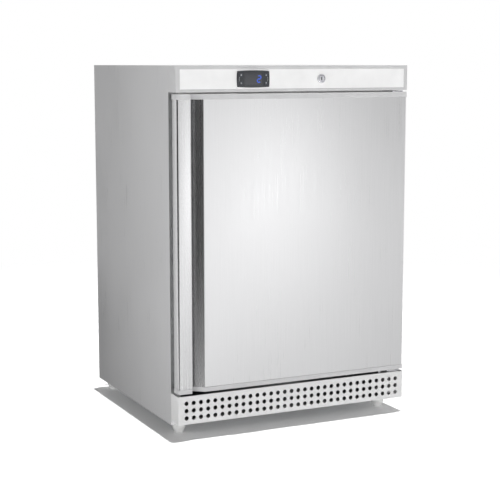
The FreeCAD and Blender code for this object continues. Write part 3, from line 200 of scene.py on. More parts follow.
finishes = {
    # the side and top copies of the brushed stainless are a darker grey than the door's copy of the same
    # steel: painted shade. Each copy also runs its grain its own way
    "steelSidePaintedShade": brushedSheet("brushed_stainless_side_painted_shade", "c3c3c4", "cbcbcc", (2.4, 1.6, 160)),
    "steelDoor": brushedSheet("brushed_stainless_door", "d2d2d3", "d9d9da", (1.6, 2.4, 160)),
    "steelTopPaintedShade": brushedSheet("brushed_stainless_top_painted_shade", "c3c3c4", "cbcbcc", (160, 1.6, 2.4)),
    "grillePaint": bakedPaint("grey_powder_coat", "d4d4d4", "dadada", (0.4, 0.5)),
    "gripAluminium": brushedSheet(
        "anodised_aluminium_extrusion", "c6c6c7", "d0d0d1", (1.6, 1.6, 300), (0.22, 0.3), 0.003
    ),
    "zinc": galvanisedSheet("galvanised_sheet", "8f9294", "b2b5b7"),
    "greyAbs": mouldedPlastic("moulded_grey_abs", "bfbfc0", "c7c7c8"),
    "fasciaFilm": mouldedPlastic("satin_white_film", "e9e9e9", "efefef", (0.34, 0.42), 1.6, 0.008),
    "linerPlastic": mouldedPlastic("formed_white_polystyrene", "e8ebeb", "f1f3f3", (0.18, 0.28), 5.0, 0.05),
    "whiteNylon": mouldedPlastic("moulded_white_nylon", "e9e9e8", "f1f1f0", (0.38, 0.5)),
    "blackAbs": mouldedPlastic("moulded_charcoal_abs", "2a2c30", "34373b", (0.35, 0.45), 0.7, 0.02),
    "keyRubber": softRubber("silicone_keys", "3a3d42", "46494f"),
    "smokedWindow": mouldedPlastic("smoked_acrylic", "2f3136", "3b3d42", (0.08, 0.14), 6.0, 0.004, 0.4),
    "symbolInk": mouldedPlastic("pale_key_ink", "a9acb0", "c3c5c8", (0.4, 0.5)),
    "chrome": platedMetal("plated_steel", "c4c4c8", "dcdce0"),
    "gasket": softRubber("grey_pvc_gasket", "3b3b3d", "4a4a4c"),
    "blackRubber": softRubber("black_rubber", "121212", "1e1e1e"),
    "acetal": mouldedPlastic("natural_acetal", "dfddd4", "e9e7df"),
    "foam": rigidFoam("polyurethane_foam"),
    "coatedWire": bakedPaint("white_epoxy_wire", "e4e5e5", "f0f1f1", (0.2, 0.3)),
    "blackEnamel": bakedPaint("black_enamel", "0d0d0e", "1a1a1c", (0.28, 0.42)),
    "castIron": bakedPaint("cast_iron", "3c3c3d", "555556", (0.6, 0.75), 1.0, 0.15),
    "copper": brushedSheet("drawn_copper_tube", "b0704a", "cf9068", (4, 4, 30), (0.22, 0.4)),
    "evaporatorSheet": brushedSheet("roll_bond_aluminium", "c9cbcd", "dadcdd", (90, 3, 3), (0.35, 0.45)),
    # near-black finish for the plate in the keyway: painted shade for the dark inside of the slot
    "keywayPaintedShade": softRubber("keyway_painted_shade_finish", "0a0a0b", "161617"),
    "blueDigit": litSegment("blue_lit_segment", "2c4aa6", 0.8),
}
print("finishes made:", len(finishes))


# mesh helpers

# turns a bmesh into an object at the origin with one finish and soft edges under an angle
def finishMesh(name, bm, finish, smoothAngle=32):
    bmesh.ops.remove_doubles(bm, verts=bm.verts, dist=1e-6)
    bmesh.ops.recalc_face_normals(bm, faces=bm.faces)
    mesh = bpy.data.meshes.new(name)
    bm.to_mesh(mesh)
    bm.free()
    mesh.materials.append(finishes[finish])
    mesh.shade_smooth()
    mesh.set_sharp_from_angle(angle=math.radians(smoothAngle))
    piece = bpy.data.objects.new(name, mesh)
    bpy.context.collection.objects.link(piece)
    return piece


# small real radii on every hard edge
def softenEdges(piece, width, segments=3):
    bevel = piece.modifiers.new("edge_radius", "BEVEL")
    bevel.width = width * mm
    bevel.segments = segments
    bevel.limit_method = "ANGLE"
    bevel.angle_limit = math.radians(40)
    bevel.harden_normals = True
    return piece


# a 2D outline with its corners rounded; radii in the same unit, 0 keeps a corner sharp
def roundCorners(points, radii, steps=8):
    outline = []
    count = len(points)
    for i, point in enumerate(points):
        corner = Vector(point)
        if not radii[i]:
            outline.append(corner)
            continue
        before = (Vector(points[i - 1]) - corner).normalized()
        after = (Vector(points[(i + 1) % count]) - corner).normalized()
        half = before.angle(after) / 2
        reach = radii[i] / math.tan(half)
        centre = corner + (before + after).normalized() * radii[i] / math.sin(half)
        start, end = corner + before * reach - centre, corner + after * reach - centre
        turn = start.angle_signed(end)
        for step in range(steps + 1):
            angle = -turn * step / steps
            spot = Matrix.Rotation(angle, 2) @ start
            outline.append(centre + spot)
    return outline


def roundedRect(lowX, lowY, highX, highY, radius, steps=6):
    return roundCorners([(lowX, lowY), (highX, lowY), (highX, highY), (lowX, highY)], [radius] * 4, steps)


# a point from two outline coordinates and a height along an axis
def at(axis, u, v, w):
    return {"X": (w, u, v), "Y": (u, w, v), "Z": (u, v, w)}[axis]


def prismInto(bm, outline, low, high, axis="Z"):
    lower = [bm.verts.new(at(axis, p[0], p[1], low)) for p in outline]
    upper = [bm.verts.new(at(axis, p[0], p[1], high)) for p in outline]
    bm.faces.new(lower)
    bm.faces.new(list(reversed(upper)))
    for i in range(len(outline)):
        j = (i + 1) % len(outline)
        bm.faces.new((lower[j], lower[i], upper[i], upper[j]))


def prism(name, outline, low, high, finish, axis="Z"):
    bm = bmesh.new()
    prismInto(bm, outline, low, high, axis)
    return finishMesh(name, bm, finish)


# bridges loops of equal length; each loop is (outline, height along the axis)
def skinned(name, loops, finish, axis="Y", closeStart=False, closeEnd=False, ring=False, angle=32):
    bm = bmesh.new()
    rows = [[bm.verts.new(at(axis, p[0], p[1], level)) for p in outline] for outline, level in loops]
    pairs = list(zip(rows, rows[1:]))
    if ring:
        pairs.append((rows[-1], rows[0]))
    for first, second in pairs:
        for i in range(len(first)):
            j = (i + 1) % len(first)
            bm.faces.new((first[i], first[j], second[j], second[i]))
    if closeStart:
        bm.faces.new(rows[0])
    if closeEnd:
        bm.faces.new(rows[-1])
    return finishMesh(name, bm, finish, angle)


# a lathed piece: profile is (radius, height) pairs in metres; radius 0 closes to a point
def turned(name, profile, centre, axis, finish, steps=48, angle=32, ring=False):
    bm = bmesh.new()
    rows = []
    for radius, level in profile:
        if radius < 1e-7:
            rows.append([bm.verts.new(spin(centre, axis, 0, 0, level))])
            continue
        rows.append(
            [bm.verts.new(spin(centre, axis, radius, math.tau * s / steps, level)) for s in range(steps)]
        )
    pairs = list(zip(rows, rows[1:])) + ([(rows[-1], rows[0])] if ring else [])
    for first, second in pairs:
        for s in range(steps):
            t = (s + 1) % steps
            face = [first[s % len(first)], first[t % len(first)]]
            face += [second[t % len(second)], second[s % len(second)]]
            face = list(dict.fromkeys(face))
            if len(face) > 2:
                bm.faces.new(face)
    return finishMesh(name, bm, finish, angle)


def spin(centre, axis, radius, angle, level):
    u, v = radius * math.cos(angle), radius * math.sin(angle)
    return Vector(centre) + Vector(at(axis, u, v, level))


# one object from several, keeping each one's finish
def joined(name, parts):
    bpy.ops.object.select_all(action="DESELECT")
    for part in parts:
        part.select_set(True)
    bpy.context.view_layer.objects.active = parts[0]
    bpy.ops.object.join()
    parts[0].name = name
    return parts[0]


def standIn(piece, body, slot, *replaced):
    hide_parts(*replaced)
    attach(piece, body)
    return piece


def addOn(piece, body):
    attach(piece, body)
    return piece


# a copy of a CAD piece with its facets joined into clean faces and a small radius on its edges
def refined(name, node, finish, radius=0.0, angle=28):
    bm = bmesh.new()
    bm.from_mesh(nodes[node].data)
    bmesh.ops.remove_doubles(bm, verts=bm.verts, dist=1e-5)
    bmesh.ops.dissolve_limit(bm, angle_limit=math.radians(1), verts=bm.verts, edges=bm.edges)
    mesh = bpy.data.meshes.new(name)
    bm.to_mesh(mesh)
    bm.free()
    mesh.materials.append(finishes[finish])
    mesh.shade_smooth()
    mesh.set_sharp_from_angle(angle=math.radians(angle))
    piece = bpy.data.objects.new(name, mesh)
    bpy.context.collection.objects.link(piece)
    return softenEdges(piece, radius, 2) if radius else piece


# geometry node trees

# an empty tree with named inputs, each a kind and a default
def newTree(name, inputs):
    tree = bpy.data.node_groups.new(name, "GeometryNodeTree")
    tree.interface.new_socket("Geometry", in_out="INPUT", socket_type="NodeSocketGeometry")
    tree.interface.new_socket("Geometry", in_out="OUTPUT", socket_type="NodeSocketGeometry")
    for label, (kind, default) in inputs.items():
        socket = tree.interface.new_socket(label, in_out="INPUT", socket_type="NodeSocket" + kind)
        socket.default_value = default
    return tree, addNode(tree, "NodeGroupInput").outputs


def endTree(tree, geometry, finish):
    real = addNode(tree, "GeometryNodeRealizeInstances", links={"Geometry": geometry})
    painted = addNode(
        tree, "GeometryNodeSetMaterial", {"Material": finishes[finish]}, {"Geometry": real.outputs[0]}
    )
    addNode(tree, "NodeGroupOutput", links={"Geometry": painted.outputs[0]})


# runs a tree on a base mesh with its inputs set by identifier, and keeps the plain mesh it gives
def grown(name, tree, finish, values=None, base=None, angle=35):
    holder = bpy.data.objects.new(name + "_holder", base or bpy.data.meshes.new(name + "_base"))
    bpy.context.collection.objects.link(holder)
    modifier = holder.modifiers.new("nodes", "NODES")
    modifier.node_group = tree
    for item in tree.interface.items_tree:
        if item.item_type == "SOCKET" and item.in_out == "INPUT" and item.name in (values or {}):
            modifier[item.identifier] = values[item.name]
    bpy.context.view_layer.update()
    mesh = bpy.data.meshes.new_from_object(holder.evaluated_get(bpy.context.evaluated_depsgraph_get()))
    holder.modifiers.clear()
    bpy.data.objects.remove(holder)
    mesh.name = name
    mesh.materials.clear()
    mesh.materials.append(finishes[finish])
    mesh.shade_smooth()
    mesh.set_sharp_from_angle(angle=math.radians(angle))
    piece = bpy.data.objects.new(name, mesh)
    bpy.context.collection.objects.link(piece)
    return piece


def pointMesh(name, points, edges=()):
    mesh = bpy.data.meshes.new(name)
    mesh.from_pydata(points, edges, [])
    return mesh


# edges through several point lists; the flag closes a path into a ring
def pathsMesh(name, paths):
    points, edges = [], []
    for path, isRing in paths:
        first = len(points)
        points += [tuple(p) for p in path]
        edges += [(first + i, first + i + 1) for i in range(len(path) - 1)]
        if isRing:
            edges.append((len(points) - 1, first))
    return pointMesh(name, points, edges)


# turns the edges of a base mesh into round tube with closed ends
def tubeTree(name, finish, sides):
    tree, inputs = newTree(name, {"Radius": ("Float", 0.003)})
    curve = addNode(tree, "GeometryNodeMeshToCurve", links={"Mesh": inputs["Geometry"]}).outputs[0]
    ring = addNode(
        tree, "GeometryNodeCurvePrimitiveCircle", {"Resolution": sides}, {"Radius": inputs["Radius"]}
    ).outputs[0]
    tube = addNode(
        tree, "GeometryNodeCurveToMesh", {"Fill Caps": True}, {"Curve": curve, "Profile Curve": ring}
    ).outputs[0]
    endTree(tree, tube, finish)
    return tree


# points along straight runs joined by tangent arcs, in space
def bentPath(points, bend, steps=8):
    path = [Vector(points[0])]
    for before, corner, after in zip(points, points[1:], points[2:]):
        corner = Vector(corner)
        inward, outward = (Vector(before) - corner).normalized(), (Vector(after) - corner).normalized()
        half = inward.angle(outward) / 2
        centre = corner + (inward + outward).normalized() * bend / math.sin(half)
        start = corner + inward * bend / math.tan(half) - centre
        end = corner + outward * bend / math.tan(half) - centre
        path += [centre + start.slerp(end, step / steps).normalized() * bend for step in range(steps + 1)]
    path.append(Vector(points[-1]))
    return path


# one mesh of tubes along several open point lists
def tubeAlong(name, paths, radius, finish, sides=14):
    tree = tubeTree(name + "_tube", finish, sides)
    base = pathsMesh(name + "_path", [(path, False) for path in paths])
    return grown(name, tree, finish, {"Radius": radius}, base)


# finishes on the CAD pieces that stay as they are

carried = {
    "zinc": ["base_tray", "bay_panel", "lock_cam", "compressor_bolts", "foot_nuts"],
    "foam": ["foam_insulation", "door_foam"],
    "blackAbs": ["fan_motor", "temperature_probe"],
    "chrome": ["hinge_pins"],
    "acetal": ["hinge_bushes"],
    "castIron": ["compressor_pump"],
    "blackRubber": ["compressor_grommets"],
    "whiteNylon": ["drain_tube"],
    "copper": ["suction_line", "discharge_line", "filter_drier"],
}
for finish, names in carried.items():
    for name in names:
        mesh = nodes[name].data
        mesh.materials.clear()
        mesh.materials.append(finishes[finish])
        for polygon in mesh.polygons:
            polygon.material_index = 0
print("carried pieces finished")


# cabinet sheet metal and mouldings

softened = {
    # name: node, finish, slot, edge radius in mm
    "side_sheet_left": ("side_panel_left", "steelSidePaintedShade", "stainless_steel", 0.35),
    "side_sheet_right": ("side_panel_right", "steelSidePaintedShade", "stainless_steel", 0.35),
    "top_sheet": ("top_panel", "steelTopPaintedShade", "stainless_steel", 0.3),
    "back_sheet": ("back_panel", "zinc", "galvanised_steel", 0.3),
    "front_surround": ("front_frame", "whiteNylon", "white_plastic", 0.6),
    "formed_liner": ("inner_liner", "linerPlastic", "white_liner", 0.8),
    "fascia_moulding": ("fascia_frame", "greyAbs", "grey_plastic", 0.5),
    "fascia_panel": ("fascia_insert", "fasciaFilm", "white_film", 0.15),
    "pan_moulding": ("evaporation_pan", "blackAbs", "black_plastic", 0.6),
    "relay_cover": ("relay_box", "blackAbs", "black_plastic", 2.0),
    "spacer_blocks": ("condenser_spacers", "blackAbs", "black_plastic", 1.2),
    "cable_gland": ("mains_inlet", "blackAbs", "black_plastic", 0.6),
    "drip_tray": ("drip_channel", "whiteNylon", "white_plastic", 0.5),
    "shroud_moulding": ("fan_shroud", "whiteNylon", "white_plastic", 0.6),
    "hinge_angle_top": ("hinge_bracket_top", "chrome", "polished_steel", 0.4),
    "hinge_angle_bottom": ("hinge_bracket_bottom", "chrome", "polished_steel", 0.4),
}
for name, (node, finish, slot, radius) in softened.items():
    standIn(refined(name, node, finish, radius), "cabinet", slot, node)
print("cabinet sheets and mouldings made:", len(softened))


# door

low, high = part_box("door_skin")
gripLow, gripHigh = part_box("door_handle")
panel = {
    "left": low.x, "right": high.x, "front": low.y, "back": high.y, "bottom": low.z, "top": high.z,
    "fold": 5.0 * mm, "sheet": 1.0 * mm, "hem": 10.0 * mm,
}
outline = roundCorners(
    [
        (panel["left"], panel["front"]),
        (panel["right"], panel["front"]),
        (panel["right"], panel["back"]),
        (panel["right"] - panel["hem"], panel["back"]),
        (panel["right"] - panel["hem"], panel["back"] - panel["sheet"]),
        (panel["right"] - panel["sheet"], panel["back"] - panel["sheet"]),
        (panel["right"] - panel["sheet"], panel["front"] + panel["sheet"]),
        (panel["left"], panel["front"] + panel["sheet"]),
    ],
    [0.6 * mm, panel["fold"], 1.2 * mm, 0, 0, 0.4 * mm, panel["fold"] - panel["sheet"], 0],
    8,
)
doorPanel = prism("door_panel", outline, panel["bottom"], panel["top"], "steelDoor")
standIn(doorPanel, "door", "stainless_steel", "door_skin")

grip = {
    "left": gripLow.x, "front": gripLow.y, "back": gripHigh.y,
    "barWide": 33.0 * mm, "hollow": 12.5 * mm, "wall": 2.5 * mm, "deep": 20.5 * mm,
    "slope": 24.0 * mm, "lip": 3.75 * mm, "round": 5.5 * mm, "hem": 8.8 * mm, "hemSheet": 0.9 * mm,
}
barBack = grip["front"] + grip["deep"]
hook = grip["left"] + grip["hollow"]
slopeStart = gripHigh.x - grip["slope"]
outline = roundCorners(
    [
        (grip["left"], grip["back"]),
        (grip["left"], grip["front"]),
        (grip["left"] + grip["barWide"], grip["front"]),
        (grip["left"] + grip["barWide"], grip["front"] + grip["wall"]),
        (hook, grip["front"] + grip["wall"]),
        (hook, barBack),
        (slopeStart, barBack),
        (gripHigh.x, panel["front"]),
        (gripHigh.x, panel["front"] + grip["lip"]),
        (slopeStart + grip["wall"] / 2, barBack + grip["wall"]),
        (hook - grip["wall"], barBack + grip["wall"]),
        (hook - grip["wall"], grip["front"] + grip["wall"]),
        (grip["left"] + grip["wall"], grip["front"] + grip["wall"]),
        (grip["left"] + grip["wall"], grip["back"] - grip["hemSheet"]),
        (grip["left"] + grip["hem"], grip["back"] - grip["hemSheet"]),
        (grip["left"] + grip["hem"], grip["back"]),
    ],
    [r * mm for r in (0.4, grip["round"] / mm, 1, 0.8, 0.8, 1.5, 3, 0.5, 0, 2, 1, 0.4, 3, 0.2, 0, 0)],
    10,
)
gripProfile = prism("grip_extrusion", outline, panel["bottom"], panel["top"], "gripAluminium")
standIn(gripProfile, "door", "handle_aluminium", "door_handle")

for end in ("top", "bottom"):
    cap = refined(f"end_cap_{end}", f"door_cap_{end}", "greyAbs", 0.8)
    standIn(cap, "door", "grey_plastic", f"door_cap_{end}")

# inner panel of the door, formed in one sheet: flange, gasket land, raised centre
linerLow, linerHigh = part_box("door_liner")
land = {
    "flange": 6.5 * mm, "wall": 2.0 * mm, "pan": 54.0 * mm, "corner": 6.0 * mm, "border": 42.0 * mm,
    "sink": 1.2 * mm, "web": 1.9 * mm,
}


def linerLoop(inset, radius, level):
    low, high = linerLow, linerHigh
    return roundedRect(low.x + inset, low.z + inset, high.x - inset, high.z - inset, radius, 6), level


front, crown, panStart, border = linerLow.y, linerHigh.y, land["pan"], land["pan"] + land["border"]
landLevel = front + land["flange"]
faceLoops = [
    linerLoop(0.0, 3 * mm, front),
    linerLoop(0.0, 3 * mm, landLevel - 1.5 * mm),
    linerLoop(0.5 * mm, 3 * mm, landLevel - 0.5 * mm),
    linerLoop(1.5 * mm, 3 * mm, landLevel),
    linerLoop(panStart - 3 * mm, land["corner"] + 3 * mm, landLevel),
    linerLoop(panStart - 0.8 * mm, land["corner"], landLevel + 0.8 * mm),
    linerLoop(panStart, land["corner"], landLevel + 3 * mm),
    linerLoop(panStart + 0.6 * mm, land["corner"], crown - 2.4 * mm),
    linerLoop(panStart + 1.1 * mm, land["corner"], crown - 0.9 * mm),
    linerLoop(panStart + 2.6 * mm, land["corner"], crown),
    linerLoop(border, land["corner"], crown),
    linerLoop(border + 3 * mm, land["corner"], crown - land["sink"]),
    linerLoop(border + 20 * mm, land["corner"], crown - land["sink"]),
]
backLoops = [
    linerLoop(border + 20 * mm, land["corner"], crown - land["web"]),
    linerLoop(panStart + land["web"], land["corner"], crown - land["web"]),
    linerLoop(panStart + land["web"], land["corner"], landLevel - land["wall"]),
    linerLoop(land["wall"], 2 * mm, landLevel - land["wall"]),
    linerLoop(land["wall"], 2 * mm, front),
]
innerPanel = skinned(
    "door_inner_panel", faceLoops[::-1] + backLoops[::-1], "linerPlastic",
    closeStart=True, closeEnd=True, angle=45,
)
standIn(innerPanel, "door", "white_liner", "door_liner")

# magnetic gasket: bellows profile swept round the door, mitred at its corners
low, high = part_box("door_gasket")
gasketProfile = [
    # inset from the outer edge and height over the liner, in mm
    (1.0, 0.0), (0.3, 1.2), (0.3, 3.0), (2.6, 4.2), (2.6, 6.2), (0.2, 7.4), (0.0, 10.6), (0.8, 12.0),
    (17.2, 12.0), (18.0, 10.6), (17.8, 7.4), (15.4, 6.2),
    (15.4, 4.2), (17.7, 3.0), (17.7, 1.2), (17.0, 0.0),
]
loops = []
for inset, rise in gasketProfile:
    inset, rise = inset * mm, rise * mm
    ring = [
        (low.x + inset, low.z + inset), (high.x - inset, low.z + inset),
        (high.x - inset, high.z - inset), (low.x + inset, high.z - inset),
    ]
    loops.append((ring, low.y + rise))
gasket = skinned("magnetic_gasket", loops, "gasket", "Y", ring=True, angle=60)
standIn(gasket, "door", "gasket_rubber", "door_gasket")
print("door made")


# controller

low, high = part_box("controller_case")
windowLow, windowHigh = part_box("controller_window")
control = {
    "middleX": (windowLow.x + windowHigh.x) / 2, "middleZ": (windowLow.z + windowHigh.z) / 2,
    "digitRight": 14.0 * mm, "digitWide": 11.0 * mm, "digitTall": 17.0 * mm, "stroke": 2.7 * mm,
    "slant": 0.08, "markWide": 3.4 * mm, "ink": 0.12 * mm, "arcRadius": 21.0 * mm, "arcWide": 0.55 * mm,
    "arcApart": 15.0 * mm, "arcSweep": 34,
}
bezel = refined("controller_bezel", "controller_case", "blackAbs", 0.2)
standIn(bezel, "cabinet", "black_plastic", "controller_case")
lens = refined("display_window", "controller_window", "smokedWindow", 0.15)
standIn(lens, "cabinet", "smoked_window", "controller_window")


# a leaning seven-segment digit; lit names its segments, a at the top and g in the middle
def digit(name, lit, centreX, centreZ, level):
    wide, tall, stroke = control["digitWide"], control["digitTall"], control["stroke"]
    gap = stroke * 0.12
    halfW, halfT = wide / 2 - stroke / 2, tall / 2 - stroke / 2
    bars = {
        "a": ((-halfW, halfT), (halfW, halfT)), "g": ((-halfW, 0), (halfW, 0)),
        "d": ((-halfW, -halfT), (halfW, -halfT)), "b": ((halfW, 0), (halfW, halfT)),
        "c": ((halfW, -halfT), (halfW, 0)), "e": ((-halfW, -halfT), (-halfW, 0)),
        "f": ((-halfW, 0), (-halfW, halfT)),
    }
    bm = bmesh.new()
    for segment in lit:
        start, end = Vector(bars[segment][0]), Vector(bars[segment][1])
        along = (end - start).normalized()
        across = Vector((-along.y, along.x)) * stroke / 2
        start, end = start + along * gap, end - along * gap
        shape = [
            start, start + along * stroke / 2 - across, end - along * stroke / 2 - across,
            end, end - along * stroke / 2 + across, start + along * stroke / 2 + across,
        ]
        shape = [(centreX + p.x + p.y * control["slant"], centreZ + p.y) for p in shape]
        prismInto(bm, shape, level, level + control["ink"], "Y")
    return finishMesh(name, bm, "blueDigit")


face = windowLow.y - control["ink"] / 2
digitX = control["middleX"] + control["digitRight"]
shown = digit("display_digit", "abged", digitX, control["middleZ"], face)
addOn(shown, "cabinet")


# outline of a thin arc between two angles in degrees
def arcBand(centreX, centreZ, radius, wide, start, end, steps=16):
    angles = [math.radians(start + (end - start) * i / steps) for i in range(steps + 1)]
    outer, inner = [
        [(centreX + math.cos(a) * reach, centreZ + math.sin(a) * reach) for a in angles]
        for reach in (radius, radius - wide)
    ]
    return outer + inner[::-1]


# print on a key: arrows on the right pair, a frost star and a standby ring on the left pair
def keyMarks(name, x, z, level, size):
    bm = bmesh.new()
    half, ink = size / 2, control["ink"]
    if "right" in name:
        up = 1 if "upper" in name else -1
        outline = [(x - half, z - half * 0.7 * up), (x + half, z - half * 0.7 * up), (x, z + half * up)]
        prismInto(bm, outline[::up], level, level + ink, "Y")
    elif "upper" in name:
        for turn in range(3):
            angle = math.radians(60 * turn + 90)
            along, across = Vector((math.cos(angle), math.sin(angle))), 0.14 * size
            side = Vector((-along.y, along.x)) * across
            corners = [-along * half - side, along * half - side, along * half + side, -along * half + side]
            prismInto(bm, [(x + c.x, z + c.y) for c in corners], level - ink * 0.1 * turn, level + ink, "Y")
    else:
        prismInto(bm, arcBand(x, z, half, size * 0.2, 125, 415), level, level + ink, "Y")
        stem = size * 0.1
        bar = [(x - stem, z), (x + stem, z), (x + stem, z + half * 1.2), (x - stem, z + half * 1.2)]
        prismInto(bm, bar, level, level + ink, "Y")
    return finishMesh("mark_" + name, bm, "symbolInk")


for name in ("key_upper_left", "key_lower_left", "key_upper_right", "key_lower_right"):
    keyLow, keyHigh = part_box(name)
    standIn(refined("pad_" + name, name, "keyRubber", 0.5), name, "black_plastic", name)
    x, z = (keyLow.x + keyHigh.x) / 2, (keyLow.z + keyHigh.z) / 2
    mark = keyMarks(name, x, z, keyLow.y - control["ink"] / 2, control["markWide"])
    addOn(mark, name)

bm = bmesh.new()
for side in (0, 180):
    arcX = control["middleX"] + math.cos(math.radians(side)) * control["arcApart"]
    sweep = (side - control["arcSweep"], side + control["arcSweep"])
    band = arcBand(arcX, control["middleZ"], control["arcRadius"], control["arcWide"], *sweep)
    prismInto(bm, band, low.y - control["ink"] / 2, low.y + control["ink"], "Y")
addOn(finishMesh("bezel_arcs", bm, "symbolInk"), "cabinet")
print("controller made")


# lock

low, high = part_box("lock_housing")
lockX, lockZ = (low.x + high.x) / 2, (low.z + high.z) / 2
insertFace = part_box("fascia_insert")[0].y
lock = {"rim": (high.x - low.x) / 2, "front": low.y, "back": high.y, "bore": 6.85 * mm, "body": 9.0 * mm}
rimProfile = [
    (lock["bore"], lock["back"]), (lock["bore"], lock["front"] + 0.9 * mm),
    (lock["bore"] + 0.5 * mm, lock["front"] + 0.35 * mm),
    (lock["bore"] + 0.7 * mm, lock["front"] + 0.3 * mm),
    (lock["bore"] + 0.9 * mm, lock["front"]), (lock["rim"] - 1.5 * mm, lock["front"]),
    (lock["rim"] - 0.6 * mm, lock["front"] + 0.3 * mm), (lock["rim"] - 0.1 * mm, lock["front"] + 1.0 * mm),
    (lock["rim"], lock["front"] + 1.7 * mm), (lock["rim"], insertFace),
    (lock["body"], insertFace), (lock["body"], lock["back"]),
]
rim = turned("lock_bezel", rimProfile, (lockX, 0, lockZ), "Y", "chrome", 64, ring=True)
standIn(rim, "cabinet", "lock_chrome", "lock_housing")
standIn(refined("lock_plug_face", "lock_barrel", "chrome", 0.25), "lock_plug", "lock_chrome", "lock_barrel")
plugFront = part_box("lock_barrel")[0].y
# a near-black plate set into the keyway: painted shade standing in for the dark inside of the slot
keywayShadePlate = prism(
    "keyway_shutter",
    roundedRect(lockX - 1.15 * mm, lockZ - 3.95 * mm, lockX + 1.15 * mm, lockZ + 3.95 * mm, 0.4 * mm),
    plugFront + 0.35 * mm, plugFront + 4.0 * mm, "keywayPaintedShade", "Y",
)
addOn(keywayShadePlate, "lock_plug")
print("lock made")


# kick grille: a folded channel punched with a grid of holes

low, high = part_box("grille")
kick = {
    "columns": 32, "rows": 3, "radius": 5.0 * mm, "margin": 21.0 * mm, "firstRow": 14.6 * mm,
    "rowPitch": 17.3 * mm, "sheet": 1.0 * mm, "corner": 3.0 * mm,
}
outline = roundCorners(
    [(low.x, low.y), (high.x, low.y), (high.x, high.y), (low.x, high.y)],
    [kick["corner"], kick["corner"], 0, 0], 6,
)
bm = bmesh.new()
prismInto(bm, outline, low.z, high.z, "Z")
bmesh.ops.recalc_face_normals(bm, faces=bm.faces)
blank = bpy.data.meshes.new("grille_blank")
bm.to_mesh(blank)
bm.free()

tree, inputs = newTree("punched_channel", {
    "Columns": ("Int", 3), "Rows": ("Int", 3), "Column Span": ("Float", 0.1), "Row Span": ("Float", 0.1),
    "Hole Radius": ("Float", 0.005), "Hole Centre": ("Vector", (0, 0, 0)),
    "Room Size": ("Vector", (1, 1, 1)), "Room Centre": ("Vector", (0, 0, 0)),
})
room = addNode(tree, "GeometryNodeMeshCube", links={"Size": inputs["Room Size"]}).outputs[0]
room = addNode(
    tree, "GeometryNodeTransform", links={"Geometry": room, "Translation": inputs["Room Centre"]}
).outputs[0]
channel = addNode(
    tree, "GeometryNodeMeshBoolean", {"operation": "DIFFERENCE", "solver": "EXACT"},
    {"Mesh 1": inputs["Geometry"], "Mesh 2": room},
).outputs[0]
grid = addNode(tree, "GeometryNodeMeshGrid", links={
    "Size X": inputs["Column Span"], "Size Y": inputs["Row Span"],
    "Vertices X": inputs["Columns"], "Vertices Y": inputs["Rows"],
}).outputs[0]
punch = addNode(
    tree, "GeometryNodeMeshCylinder", {"Vertices": 28, "Depth": 6 * mm}, {"Radius": inputs["Hole Radius"]}
).outputs[0]
punches = addNode(
    tree, "GeometryNodeInstanceOnPoints", links={"Points": grid, "Instance": punch}
).outputs[0]
punches = addNode(tree, "GeometryNodeRealizeInstances", links={"Geometry": punches}).outputs[0]
punches = addNode(
    tree, "GeometryNodeTransform", {"Rotation": (math.pi / 2, 0, 0)},
    {"Geometry": punches, "Translation": inputs["Hole Centre"]},
).outputs[0]
punched = addNode(
    tree, "GeometryNodeMeshBoolean", {"operation": "DIFFERENCE", "solver": "EXACT"},
    {"Mesh 1": channel, "Mesh 2": punches},
).outputs[0]
endTree(tree, punched, "grillePaint")
roomSize = Vector((
    high.x - low.x - 2 * kick["sheet"], high.y - low.y + 10 * mm, high.z - low.z + 10 * mm
))
roomLow = Vector((low.x + kick["sheet"], low.y + kick["sheet"], low.z + kick["sheet"]))
rowsTall = kick["rowPitch"] * (kick["rows"] - 1)
grille = grown("kick_grille", tree, "grillePaint", {
    "Columns": kick["columns"], "Rows": kick["rows"],
    "Column Span": high.x - low.x - 2 * kick["margin"], "Row Span": rowsTall,
    "Hole Radius": kick["radius"],
    "Hole Centre": ((low.x + high.x) / 2, low.y, low.z + kick["firstRow"] + rowsTall / 2),
    "Room Size": tuple(roomSize), "Room Centre": tuple(roomLow + roomSize / 2),
}, blank)
softenEdges(grille, 0.25, 2)
standIn(grille, "cabinet", "grille_paint", "grille")
print("grille punched:", kick["columns"] * kick["rows"], "holes")


# feet, each one moulding with a rolled thread

foot = {
    "base": 10.5 * mm, "flare": 15.5 * mm, "flareTop": 14 * mm, "tall": 22 * mm, "stud": 5 * mm,
    "pitch": 1.75 * mm, "threadDeep": 0.8 * mm,
}
for name in ("front_left", "front_right", "rear_left", "rear_right"):
    low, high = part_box("foot_" + name)
    base, flare, stud, root = foot["base"], foot["flare"], foot["stud"], foot["stud"] - foot["threadDeep"]
    shoulder = low.z + foot["tall"]
    profile = [
        (0, low.z), (base - 1.6 * mm, low.z), (base - 0.5 * mm, low.z + 0.3 * mm),
        (base, low.z + 1.5 * mm), (flare - 0.4 * mm, low.z + foot["flareTop"] - 1 * mm),
        (flare, low.z + foot["flareTop"]), (flare, shoulder - 1.2 * mm),
        (flare - 0.5 * mm, shoulder - 0.3 * mm), (flare - 1.3 * mm, shoulder), (stud + 0.6 * mm, shoulder),
    ]
    level = shoulder + 0.6 * mm
    while level < high.z - 2 * foot["pitch"]:
        profile += [(root, level), (stud, level + foot["pitch"] * 0.5)]
        level += foot["pitch"]
    profile += [(root, level), (root, high.z - 0.6 * mm), (stud - 1.5 * mm, high.z), (0, high.z)]
    centre = ((low.x + high.x) / 2, (low.y + high.y) / 2, 0)
    made = turned("levelling_foot_" + name, profile, centre, "Z", "whiteNylon", 56)
    standIn(made, "foot_" + name, "white_plastic", "foot_" + name)
print("feet made")


# wire shelves, condenser and other rows of rod

